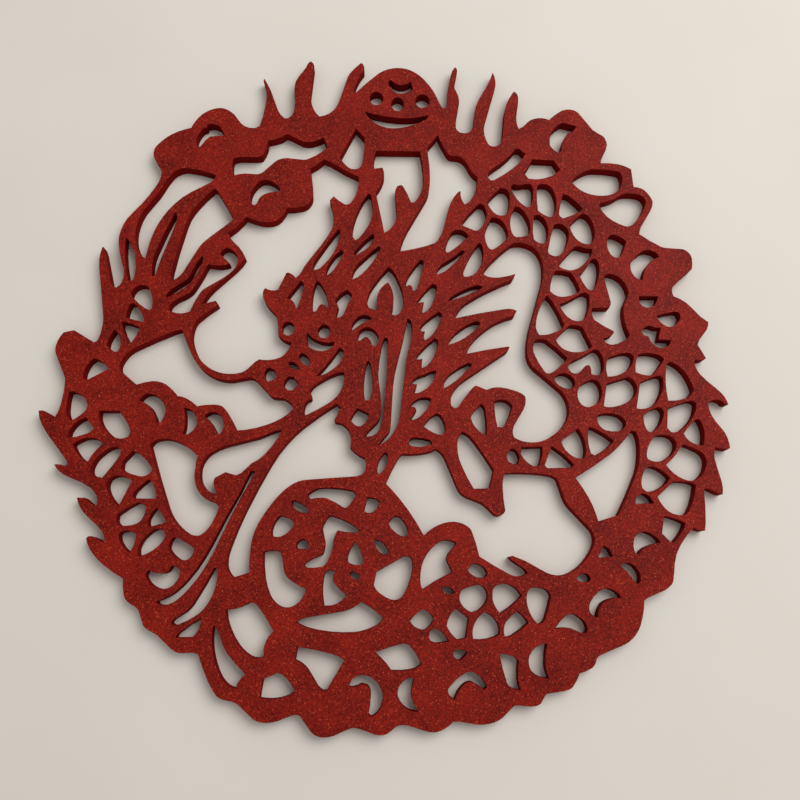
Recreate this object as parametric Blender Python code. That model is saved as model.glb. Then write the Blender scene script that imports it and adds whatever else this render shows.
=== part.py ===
"""Dragon window cutout: one flat plate, pierced right through by every cut of the drawing.

The plate lies on its back with its front up. Its outline and its cuts are drawn in millimetres,
as a cutter's template is, and pulled up to the plate's thickness.
"""
import math

import bmesh
import bpy
from mathutils import Vector

NAME = "dragon_cutout"

# Driving sizes in metres.
PLATE_THICKNESS = 0.0038
DRAWN_MILLIMETRE = 0.001
WELD_DISTANCE = 0.000002

# An edge of the mesh leaves the drawn curve by no more than this.
CURVE_TOLERANCE = 0.00018
# A curve is first drawn in short steps that each turn by about this much.
STEP_TURN = math.radians(10)
ROUND_CUT_SIDES = 16

RED_PLASTIC = (0.38, 0.016, 0.012, 1.0)

# Round cuts of the drawing: centre x, centre y, half width and half height, in millimetres.
ROUND_CUTS = {
    "eye": (-18.5, 11.6, 1.85, 2.1),
    "nostril": (-29.1, 12.4, 1.8, 2.15),
    "crown_dot_left": (-3.4, 89.0, 2.15, 2.3),
    "crown_dot_middle": (3.3, 87.1, 2.0, 2.4),
    "crown_dot_right": (11.2, 88.3, 2.25, 2.35),
}

# The drawn lines run through their points, x,y in millimetres from the middle of the ring.
# A plain point lies on a smooth curve, and a point with a mark (!) is a corner.
SILHOUETTE = """
    -61.3,77.8! -60,80.3 -58,82.7 -55,84.4 -52.5,84.9 -50,84.2 -48,82.6 -44.7,78.7 -43.8,78.3
    -40.4,78.6 -39.9,79.1! -38.6,85 -38.2,88.5 -38.6,92.3 -39.4,94.9! -39.1,95.5! -38.2,94!
    -36.9,91.3 -35,85.5 -33.5,82.9 -32,81.6 -30.9,81.9 -29.9,82.9! -29.3,85 -29.5,92 -29.1,94.8
    -27.5,97.4 -26,99.8 -25.1,101.6 -24.5,102 -23.8,101.4 -23.4,98.5 -23.7,94.5 -24.3,90 -23.7,86.3
    -22.7,84 -21.3,82.4! -19.8,82.8 -17.6,84 -16.2,85.7 -15.2,88 -13.2,95 -12,97.8 -10.3,99.7
    -9,101! -8.1,101.6 -7.7,100.8! -7.4,98.6 -8.3,97.3 -9.6,95 -10.3,92.8 -10.6,91.2! -9.8,91.2!
    -8,93 -5.2,95.7 -2.8,98 0.3,99.6 3.5,100.1 7.5,99.3 10.5,97.3 13,94.6 15,91.5 16.3,88.8
    17.2,86.6 17.9,85.9 18.6,86.2 19,88 19.5,93.5 20.2,97.2 21.2,100 21.9,100.7 22.3,100 22.1,97.3
    21.4,94! 22.7,90.3 22.9,88 22.5,85 21.7,80.5 21.9,78.7 22.8,77.7 24.4,77.3 26.1,77.8 27,79.2
    27.4,82 28.2,86.8 29.3,89.3 32.3,95 33.9,99! 34.7,95.8 34.3,92.3 33.2,88.6 30.8,80.5 30.6,77.8
    31.2,75.4 32.9,72.9 33.9,72.9 36,74.4! 36.5,77 36.9,82 38,87.7 39.7,91 40.8,92.2 41.4,91.5
    41.2,86 41.3,80.2 41.7,79.1! 43,79.9 45,81.9 47.3,82.9 51.4,82.4! 53.5,84 55.2,85.5 57.7,86.2
    60,85.7 61.7,84.2 63.5,81.7 65.2,79.1! 66.5,78.2 67.8,77.5 68.8,76.5 69.3,75 69.5,73.8 69,72.2
    68,70 67.3,68.5 67.2,67.6! 69,67.4 71,67.5 73.5,67.1 75.5,66.3 76.7,65.6! 77,62.5 77.1,59.6!
    78,59.4 79.3,59.2 80.7,58.3 81.8,56.8 82.8,54.8! 82.5,53 81.9,51.6 80.6,49.4 79.2,47.3
    78.3,45.5 77.9,43.8! 80.2,42.3 82,41.1 83.5,40.1 85,39.5 87,39.2 90.3,39.2 92.2,38.4 93.3,37.2
    93.7,35.8 93.6,34 93.4,32.5! 90.5,30! 88,27.5! 86.9,26.2 86.8,25 87.1,23.7! 88.5,23 90,22.3
    91.5,21 93,19.3 94.7,17.4 96.3,16.2 97.1,15.5! 97,14.6 96.5,13.2 95.3,11.5 94,10 93.3,8.4!
    94,6.9! 95.5,4.2! 94.2,3.6 92.1,3.7! 92.1,1.8 92.8,0 94,-1.5 95.8,-3.1 97.3,-4.5 98.7,-5.8
    99.7,-7.1 100.5,-8.8 101,-9.9! 99.8,-9.8! 98.9,-8.9 97.5,-8.5 96.2,-8.7 95.1,-9.4! 95.2,-11.3
    95.8,-13.2 96.8,-15 98,-16.6 99.2,-18.2 99.9,-19.8 100.3,-21.5 100.4,-22.9! 99.6,-23.4 98,-23.1
    96,-22.8! 95.7,-24.3 95.6,-26 96,-28.3 96.6,-30.5 97.1,-32.7 97.3,-34.5 97.1,-36.4! 95.8,-36.3!
    94.5,-35.5 93.2,-34.9 91.7,-35! 91.5,-37 91.5,-42 91.5,-44.5 91.1,-46.8! 90,-46.9! 88,-46.1!
    87.2,-46.7! 86,-47.9 84.9,-49.3 83.6,-51.4 82.5,-53.3 82,-55 81.6,-57.5 81.3,-59.7 80.9,-61.1
    80,-62.3 78.5,-63.4 76.5,-64.3 74.5,-65.1 72.9,-65.7 72.2,-66.5! 72,-68.5 71.7,-70.6 71,-72.8
    69.9,-74.9 68.4,-76.6 66.4,-78 64,-79.1 61.2,-80.1 59.2,-80.9 58.4,-81.5! 58.1,-82.5 57.3,-83.8
    56.3,-84.6 54.8,-85 53.6,-85.4 52.8,-86.3 52.1,-87.7 51.3,-89.2 50.2,-89.9 48,-90.4 45.5,-90.8
    44.3,-90.9 43.5,-91.5 42.9,-92.7 42.1,-93.7 41,-94.1 36,-93.9 34.9,-94.1 33.5,-95.4 31.9,-97
    30,-98.1 27.5,-98.7 25,-98.8 22.5,-98.4 20,-98 18.5,-98! 17.3,-99 15.8,-100 13.5,-100.7
    11,-100.4 8.5,-99.6 6,-98.9 3.8,-98.9 2.3,-99.7 0.9,-100.9 -0.7,-101.4 -2.7,-101.2 -4.8,-100.5
    -7,-99.7 -9,-99.5 -10.6,-100 -12.5,-101 -14.5,-101.7 -16.5,-101.9 -18.3,-101.5 -19.8,-100.5
    -21,-99.1 -22,-97.6 -22.9,-96.4! -24,-96.1 -26,-96.7 -28.5,-97.6 -31,-98.1 -33.3,-98
    -35.3,-97.3 -36.8,-96 -38.3,-94.4 -39.8,-93.3 -42,-92.7 -44,-92.1 -45.5,-91.2 -46.7,-89.7
    -47.8,-87.7 -49,-85.2 -50,-82.5 -50.9,-80.4! -52.5,-80 -54.5,-80.1 -56.3,-80.1 -57.8,-79.4
    -59.2,-78.2 -60.5,-76.9 -62.3,-75.4 -64.3,-74.3 -65.8,-73.4 -66.7,-72 -67.2,-70.5 -67.8,-68.8!
    -69.5,-67.7 -71,-66.5 -72,-65 -72.4,-63 -72.6,-60.3! -74.8,-58.7 -76.5,-57.7 -78.5,-56.4
    -80,-55.1 -81.3,-53.7 -82.3,-52.2 -83.2,-50.6 -83.6,-49.3! -83.1,-48.7! -82,-48.7! -80.7,-49.4
    -78.7,-50.3! -78.4,-49.6! -78.8,-48.4 -79.5,-47.2 -80.7,-45.9 -82,-44.7 -83.5,-43.5 -84.9,-42.1
    -86,-40.3 -87.1,-37.9! -85,-37.9! -83.6,-39.1 -82.2,-40.1! -81.4,-39.9! -81.3,-38.6 -81.8,-37.2
    -82.9,-35.7 -84.5,-34.5 -86.3,-33.7 -88,-32.9 -90,-32.1 -91.6,-31.3 -93.1,-30.1 -94.3,-28.5!
    -92.5,-28.5 -91.2,-28.9! -90.6,-28.6! -90.7,-27.7 -91.5,-26.5 -93,-24.8 -94.5,-22.9 -96,-21
    -97.5,-19 -98.8,-17 -99.6,-15.2 -100.1,-12.9! -99.2,-12.8! -97.9,-13.2 -96.7,-14.1 -95.4,-15!
    -94.9,-14.2 -94.3,-12.5 -93.8,-10.3 -93.5,-8 -93.4,-6 -93.3,-4 -93.7,-2.5 -94.6,-0.8 -95.3,1.2
    -96.2,3 -96.9,4.8 -97,6.3 -96.5,8.1 -95.8,9.5 -95,10.7! -93.5,11 -92,11.4 -91,11 -89.5,10
    -87.8,8.8 -85.9,7.7! -85.2,8 -84.5,9.5 -84.1,11 -83.8,13 -83.8,15.5 -84,17.5 -84.4,20 -84.9,23
    -85.4,26 -85.8,28.5 -86.2,31 -86.4,33.5 -86.2,35.5 -85.8,37.6! -85.4,37.7! -84.7,36 -84.1,34
    -83.2,30.5 -82.6,27.5 -81.6,25.3 -80.6,24.8! -79.7,25.6 -79,27 -78.7,29 -78.9,30.8 -79.7,33
    -80.4,36 -81,39 -81,41.5 -80.2,44.5 -79,47 -77.5,48.9 -75,51.8 -72.5,55.3 -70.7,58.3 -69.9,60.5
    -69.5,62.5! -70.2,64.2 -71.3,65.8 -72.2,67.5 -72.5,69 -72.3,70.3 -71.3,71.9 -69.8,73.5
    -67.5,75.3 -65.5,76.4 -63.5,77
"""

# The crown at the top of the ring, and the pale fields of the collar below it.
CROWN_CUTS = {
    "crown_brow": "0.4,95.2! 1.2,95.7! 2.9,94.2 4.5,93.9 6,94.2 7.5,95.2! 8.2,93! 8,92.4 6,91.4"
                  " 3.8,90.9 2,91.7 0.9,93",
    "crown_smile": "-6.9,84.3! -4,83.4 3.5,82.2 7.5,82.2 10.8,82.8 12.9,83.4! 12.6,82.3 11,81.3"
                   " 8.5,80.1 5.5,79.1 2.5,78.7 -0.8,79 -3.3,80.1 -5.5,81.9",
    "collar_left": "-9.8,78.3! -7.1,75.1! -7.1,72 -7.6,67.5 -8.3,65.1 -10.2,64.4 -12,65 -13.5,66.5"
                   " -14.7,68.2! -13.2,71.7 -11.4,75.1",
    "collar_middle": "-3.4,70.7! 10.3,70.7! 10.9,67.5 11.2,64 11.3,61 11,58.5 10.3,56.3 9.2,54.4"
                     " 8.1,53.4 7.3,53.6! 6.3,56 5.4,58.2 4.6,59.2 3.5,59.1 2.7,57.8 2.7,55 2.9,52"
                     " 3,49.5 2.7,47.3 1.9,45.6 0.7,44.3 -0.7,43.3! -1.6,47 -2.2,50.2 -2.8,53.5"
                     " -3.4,56.7! -2.5,58.8 -1.4,60.3 -0.9,62 -1.4,65.1! -3.9,64.7! -4.1,67",
    "collar_right": "15.9,76.3! 17.4,73.2 18.3,71.2 19.2,69.8 20.5,69.2 22.3,69.2 24.3,67.8 26,64.6"
                    " 28.2,62.2! 28.1,60.3 27.6,58 26.7,55.8 25.4,53.8 24.1,53! 23.4,54 23,55.7"
                    " 22.9,57.4! 22.3,57.3! 20.8,55.5 19.7,53.4 19,51.3 18.5,48.8 17.9,46.4 17.2,44.1"
                    " 16.1,41.8 14.7,40.1 12.3,39.2 9,38.3 6,37.6 4,37.3! 4.6,39.8 5.4,42.3 6.6,44.9"
                    " 8.2,47.6 9.7,50.2 11.2,52.8 12.4,55.3 13.1,57.8 13.4,61 13.2,66.5 12.6,72!"
                    " 14,73.9!",
}

# The clouds on both shoulders of the ring.
CLOUD_CUTS = {
    "crescent_left": "-58.7,71.2! -59.4,73.3 -58.8,75.6 -57.6,77.5! -56.4,77.9! -56.3,79! -54.5,79.1"
                     " -53,78.8 -51.6,77.3 -50.7,75.4! -55.3,74.9! -56.7,73.6 -58,71.6!",
    "cloud_left": "-47.7,67.3! -46,67.9! -40,68! -38.8,68.4! -37.9,70 -37.2,72.5 -37.1,73.7!"
                  " -35.5,74.2 -33,74.9 -31.6,76! -30.9,75.9! -29.8,75.3! -28,74.3 -26,73.5"
                  " -24.5,73.3 -22.5,73.8 -19.9,75! -18.6,71.6! -20,70.4! -22.5,69 -24.5,67.7"
                  " -26,67.4 -31,67.9 -33,67.6 -34.8,66.6 -36.5,64.9 -38,63.3 -39,62.6 -44,62.5"
                  " -47.2,61.8! -47.9,65",
    "cloud_hook": "-33.2,56.6! -36,56.2 -38.2,55.3 -39.4,54 -40,52.4 -40.6,51.9 -41.3,52.3"
                  " -41.9,53.8 -41.8,55.8 -41,57.6 -39.8,59.2 -38.2,60.3 -36.3,60.1 -34.5,59.2"
                  " -33.3,58 -33,57!",
    "slot_right": "31.5,62.2 31.8,63.8 33.5,65.5 36,67.3 38.5,69.6 40.4,72! 41.8,72! 42.5,71!"
                  " 43.5,70.5! 42.5,68.8! 41,66.9 39,65.1 36.5,63.4 34.5,62 33,61.3 32,61.4",
    "cloud_right": "42.8,63.9! 44.5,66.3 45.6,68.5! 52.3,68.2! 54.2,65.1! 53,64! 51.5,63 49,62.1"
                   " 46,61.8 44.2,62!",
    "crescent_right": "51.4,75.5 52,77.8 54,80.3 55.6,81.4! 58,80.8 60,80.2! 58.5,78.3! 57.3,77.8!"
                      " 56,76.2 55.2,74.5 55,71.6! 53.7,71! 52.5,72! 51.4,73.4!",
    "petal_right": "57.8,60.9! 58.6,62.3 60.3,63.6 62.5,64.8 65,65.4 68.5,65 71.5,64.9 73,64.5!"
                   " 73.6,62.5 73.3,60.4 72,58.2 70,57 67,56.5 64,56.8 61,57.9 59.3,59.2",
}

# The long hair that sweeps down the left shoulder.
HAIR_CUTS = {
    "strand_gap": "-52.8,61.7! -53.1,60.8! -54.4,59.3 -57.5,57.4 -60,56.1 -62.7,54.2 -65,52"
                  " -66.7,50 -68.2,47.8 -69.4,45.6 -70.5,43.2 -71.4,40.4 -72.1,37.6 -72.5,35"
                  " -72.7,34.1! -74.3,35.6 -75.4,37.8 -76,40.3 -76,43.5 -75.3,46.8 -74.1,49.7"
                  " -72,52.6 -70.2,55.2 -68.6,57.7 -67.2,60.2 -66.2,62 -64.8,63.2 -62.5,63.9"
                  " -60.5,63.8 -57.5,63 -55,62.5",
    "slit_outer": "-78.8,40.8! -77.7,39.3 -76.6,37.3 -75.8,34.8 -75.4,31.8 -75.5,29 -75.8,27.3!"
                  " -76.4,27! -77.2,27.1! -77.8,29.5 -78.4,32.8 -78.8,36 -79,39",
    "slit_middle": "-64.6,49.2! -64,47.8 -64.2,45.5 -64.9,43 -65.9,40 -67.1,36.7 -68.2,33.5"
                   " -69,30.5 -69.4,28.7! -70.2,28.5! -70.5,30.5 -70.2,33.5 -69.6,36.3 -68.6,39.2"
                   " -67.3,42.5 -65.9,46",
    "petal_left": "-53.2,57.1! -52.2,56.6! -50.9,54.2 -49.5,51.6 -48,49.2 -47,47.6! -47.3,46.8!"
                  " -49,45.2 -52,42.5 -55,40.1 -56.8,37.9 -58.3,35.3 -59.7,32.3 -61.2,29.8 -62.8,28"
                  " -64.3,27.2! -64.6,29 -64.1,32 -63.4,35.5 -62.6,39 -61.7,43 -60.8,46.5"
                  " -59.6,49.4 -58,51.7 -55.8,54.1",
    "hook_gap": "-48.4,37.7 -47.2,37.4 -46,36.3 -45.1,35.1 -45,33.5 -45.4,31.9 -46.8,30 -49,28.2"
                " -51.5,26.6 -54,25.2 -55.5,23.7 -56.6,21.6 -57.5,19.2 -58.4,17.6 -59.8,17"
                " -61.8,16.9 -63.6,17.3! -64.6,18.2! -64.2,19.6 -62.6,21.1 -60.3,22.3 -58.4,23.7"
                " -57,25.8 -55.9,28.2 -54.8,30.5 -53.8,32.4! -51,32 -48.7,32.1 -47.2,32.7!"
                " -49.1,34.6! -50.3,35.8! -49.6,37",
    "slit_inner": "-55.6,35.2! -55.4,33.8 -56.3,31.4 -57.4,29 -58.5,26.9 -60,25.3 -62,24 -64,22.8"
                  " -65.4,21.8! -65.7,22.3! -65,23.5 -63.5,25 -61.5,26.3 -59.8,27.6 -58.5,29.4"
                  " -57.5,31.8 -56.3,34.5",
    "curl_eye": "-71.2,25.1! -70.4,23.4 -69.8,21.3 -69.7,19 -69.9,18.1 -70.7,17.9 -72.3,19.1"
                " -74,20.5 -75.3,21.4 -76.1,22.6 -75.6,24.1 -74.3,25.3 -72.8,25.6",
}

# The wide fields around the head, the claws and the tail, where the plate is open.
OPEN_FIELDS = {
    "field_above_head": "-19.6,67.5! -17.8,66.8 -15.5,65.4 -13,63.8 -11,62.7 -8.9,61.8! -8.7,60.3"
                        " -8.9,58.3 -9.4,56.3 -10.3,54.3 -11.4,52.8 -12.6,52.5 -14.3,53.6"
                        " -16.4,55.2! -17.6,53.8! -17.2,51.5 -16.6,48.8 -16.3,46.5 -16.9,44"
                        " -18.3,41.5 -20.3,38.5 -22.8,35.3 -24.8,32.2 -26.3,29.4 -27.3,28.4!"
                        " -28.9,29.8 -29.9,30.1 -30.9,28.5 -31.9,26.1 -32.5,24.7! -33.8,24.3"
                        " -35,24.5 -36.4,25.1! -37,24 -36.9,22.4 -36,20.2 -34.4,18.1 -33,16.7"
                        " -32.4,15 -32.3,12.5 -32,10.3 -30.8,9.1 -28,8.1! -28.6,6.5 -29.6,4.9"
                        " -31.2,3.5 -33.2,2.9 -37.4,2.9! -38.8,1.9 -40.7,-0.1 -42.6,-1.2 -45,-1.6"
                        " -47.8,-1.4 -50.8,-0.4 -53.4,1.4 -55.5,3.9 -56.8,6.7 -57.4,9.6 -57.2,12.4"
                        " -56,14.9 -53.8,16.9 -51.6,18.5 -50.1,19.7! -50.9,20.9! -55,19.8!"
                        " -54.3,21.4 -53.3,23.1 -51.9,24.8 -49.5,27 -47.2,29.2 -45.2,31.3"
                        " -43.6,33.2 -42.7,34.8! -43.6,36.6 -44.7,38.1 -47,40.4! -48.1,42.6!"
                        " -46,44.5 -44.2,46.2 -42.9,47.9! -41.2,47.4 -39.5,46.6 -37.3,46.2"
                        " -35.3,46.3 -33.4,47 -32,48.3 -31.2,49.7 -30.6,50.9! -28,51.2 -25.8,51.5"
                        " -24.2,52.4 -23.2,53.8 -22.8,55.5 -22.9,57.5 -23.3,60 -23.7,64.4!"
                        " -22.2,65.3 -20.8,66.6",
    "field_under_whisker": "-60.3,11.6! -59.7,10.3 -58.6,7.3 -57.2,4.2 -55.4,1.3 -53.2,-1"
                           " -50.5,-2.6 -47.5,-3.5 -44.8,-3.6 -42.2,-3.2 -40.3,-2.7 -38.9,-2.9"
                           " -37.2,-4.3 -35.5,-6.2 -34,-7.9 -32.6,-8.7 -30.8,-8.7 -29.3,-9.1"
                           " -28,-10.3 -26.9,-11.7! -27.3,-12.3! -29,-13.9 -31.5,-15.4 -34.5,-16.7"
                           " -37.5,-17.6 -40.5,-18.2 -43.1,-18.4! -44.3,-16.6! -45.3,-14.7!"
                           " -46.4,-12.5 -47.3,-11.4 -48.5,-10.9 -51,-10.9 -54.8,-11.3!"
                           " -56.3,-10.2 -58.2,-8.9 -60.9,-8.3! -62,-7 -62.9,-5.8 -64.2,-4.8"
                           " -66,-4.1 -68,-3.9 -70.2,-4.3 -72.7,-5! -76.2,-1.9! -77.6,-0.8!"
                           " -77.9,0.6 -77.2,2.6 -75.5,4.8 -72.8,6.6 -69.5,8.1 -66,9.8 -63,11"
                           " -61.4,11.7",
    "field_in_curl": "-30.2,-18.2! -31.8,-18.5 -34,-19.6 -36.5,-20.5 -39.5,-21.3 -43,-22.2"
                     " -46.3,-23.1 -49,-24.3 -51.2,-26 -52.6,-28.4 -52.9,-31 -52.4,-33.5 -51,-35.4"
                     " -49.2,-36.5 -48,-36.7! -48.4,-35.2 -49,-33.6 -48.6,-32.1! -47,-31.1!"
                     " -45.7,-30.5! -44.3,-30.9 -42.8,-31.4 -41.2,-30.7 -40,-29.3 -38.5,-28"
                     " -36.3,-26.7 -34.3,-24.8 -32.3,-22.3 -30.8,-19.9!",
    "field_beside_curl": "-67.5,-22.9! -66.3,-21.6 -64.2,-21 -61.3,-21.3 -58.5,-22.4 -56,-24"
                         " -53.9,-25.8! -54.2,-28 -54.5,-30.5 -54.3,-33.2 -53.5,-35.4 -52,-37.4"
                         " -50.2,-38.6 -48.2,-39.3! -47.1,-40.4! -47.7,-42.4 -48.9,-45 -50.4,-47.1"
                         " -52.2,-48.4! -53.8,-48.4 -55.8,-47.6 -58,-45.8 -60,-43.4 -61.5,-40.5"
                         " -62.8,-36.8 -64.3,-32.4!",
    "field_of_claws": "29.2,30.2! 30.3,32.2 31.9,34.2 33.8,35.9 35.8,37.7 37.6,39.5 39.3,40.3"
                      " 41.5,40.3 43.6,39.7 45.4,38.5 46.6,36.8 47.4,34.5 47.6,31.5 47.2,28"
                      " 46.2,24.2 45,20.5 43.8,17 42.8,13 42.1,9.5 41.8,6.5 42,4 43,1.8 44.8,-0.3"
                      " 47,-2.2 49.5,-4.3 51.7,-6.3 53.1,-8.7 53.6,-11.3 53.3,-13.8 52,-16.2"
                      " 50,-18.3 47.7,-20 45,-21.2 42.2,-21.5 39.5,-21.1 37.3,-20.1! 36.9,-18.5"
                      " 37.3,-16.6 38.3,-14.7 39.7,-12.7 40.7,-10.8 41,-9 40.9,-7.8! 39.8,-6.9!"
                      " 37.5,-6 35,-5.3 32.5,-5.1 29.5,-5.9! 27.9,-5.2! 26.5,-4.6! 25.4,-5.3!"
                      " 23.9,-7.2 22.4,-9.2 21.3,-10.9! 20.2,-11.5 19.3,-11 19,-9.5 19.5,-7"
                      " 20.9,-4.9 23,-3 25.5,-1.3 28,0.3 31,2.5 34,4.5 35.8,5.8! 36.7,7.2!"
                      " 36.2,7.4! 24,5.1! 24.6,7.1 26.2,9.4 28.2,11.4 30.5,13.3 33,14.9 35.8,16.1"
                      " 38.4,17! 39.2,18.6! 38,19.1 35.5,19.1 31.5,18.4 26.5,17.2 20.6,16.1!"
                      " 21.3,17.8 23,20.2 25.3,21.9 28,23.5 31,25.2 34.5,26.7 38.2,28.5!"
                      " 39.2,30.4! 36,29.5 33,29.1 30.8,29.4",
    "field_behind_haunch": "54.6,-31.8! 58,-29.6! 61.5,-27.4! 65,-25 67.8,-22.5 70,-19.9"
                           " 71.6,-17.9! 72.9,-18.2! 73.6,-20.5 73.7,-23.5 73.3,-27 72.3,-30.5"
                           " 70.7,-34 69,-37.3 67.6,-40.2 66.5,-42.4! 60.6,-44.2! 59.9,-42.3 59,-40"
                           " 58.2,-37.5 57,-35.5 55.4,-33.4",
    "field_of_leg": "0,-33.6! 1,-31.4 2.2,-29 3.5,-26.5 4.6,-25.1! 9,-24.7! 12,-24.6! 14.4,-23.5!"
                    " 15.6,-24.3 17,-26.2 18.2,-28.8 19.3,-31.8 20.4,-34.6 21.7,-36.6 23.6,-37.7"
                    " 26,-38.5 28.3,-39.8 30.1,-41.5 31.5,-42.7 32.8,-42.6 34.1,-41.3! 34,-38.5"
                    " 33.6,-35.5 33.6,-33 34.3,-30.5! 39,-30.4 43,-30.6 46.5,-31 49,-31.9 50,-33.7"
                    " 50.6,-36.2 51.5,-38.8 53.2,-41.1 55.5,-43.4 57.8,-45.8 59,-47.8 59.2,-50"
                    " 58.3,-52.3 57,-54.3 55.3,-56.2 53.2,-57.8 50.7,-59 48,-59.3 45.3,-58.6"
                    " 42.5,-57.1 39.5,-55.4 37.3,-54.4 35.8,-53.9! 34.7,-54.2! 35.4,-55.1!"
                    " 37.4,-56.4 39.1,-57.7 39.9,-58.7! 38.3,-59.4 36.3,-59.5 34.2,-58.8"
                    " 31.5,-57.2 28.5,-55.4 26.4,-54.1! 25.8,-51.8 25,-48.7 23.9,-46.3 22,-45"
                    " 19.3,-44.4 16.5,-44.8 13.7,-46 10.8,-48.3! 9.5,-46.5 8,-44 6.3,-41 4,-38"
                    " 1.7,-35.6",
    "field_of_pearl": "-13.2,-11.7! -14.4,-10.4! -16,-11.5 -18.5,-13.3 -21.3,-15.2 -23.8,-17.2"
                      " -26.5,-19.7 -28.8,-22.3 -30.9,-25.1 -32.9,-28.4 -34.6,-31.6 -36.2,-34.9"
                      " -38,-38.2 -39.6,-41.7 -40.9,-45.2 -42.3,-48.6 -43.5,-51.8 -44.2,-54.8"
                      " -44,-57.4 -42.2,-59.9! -40,-59.1 -37.9,-58.6! -38,-55.5 -37.8,-52"
                      " -37.3,-48.7 -36,-45.2 -34.2,-42.3 -32.2,-39.3 -30,-36.7 -27.5,-34.5"
                      " -24.8,-33 -22,-32.5 -16,-32.2! -10,-31.7 -7.5,-31.3 -6.1,-30.4 -5.8,-28.2"
                      " -5.9,-26.4! -7.3,-25.4 -9,-24.6 -10.3,-23.3! -10.2,-21 -10.6,-18.7"
                      " -11.5,-17.3 -12.8,-16.3 -14.7,-15.9! -15,-15.2! -14.5,-14 -13.9,-12.8",
}

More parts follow.
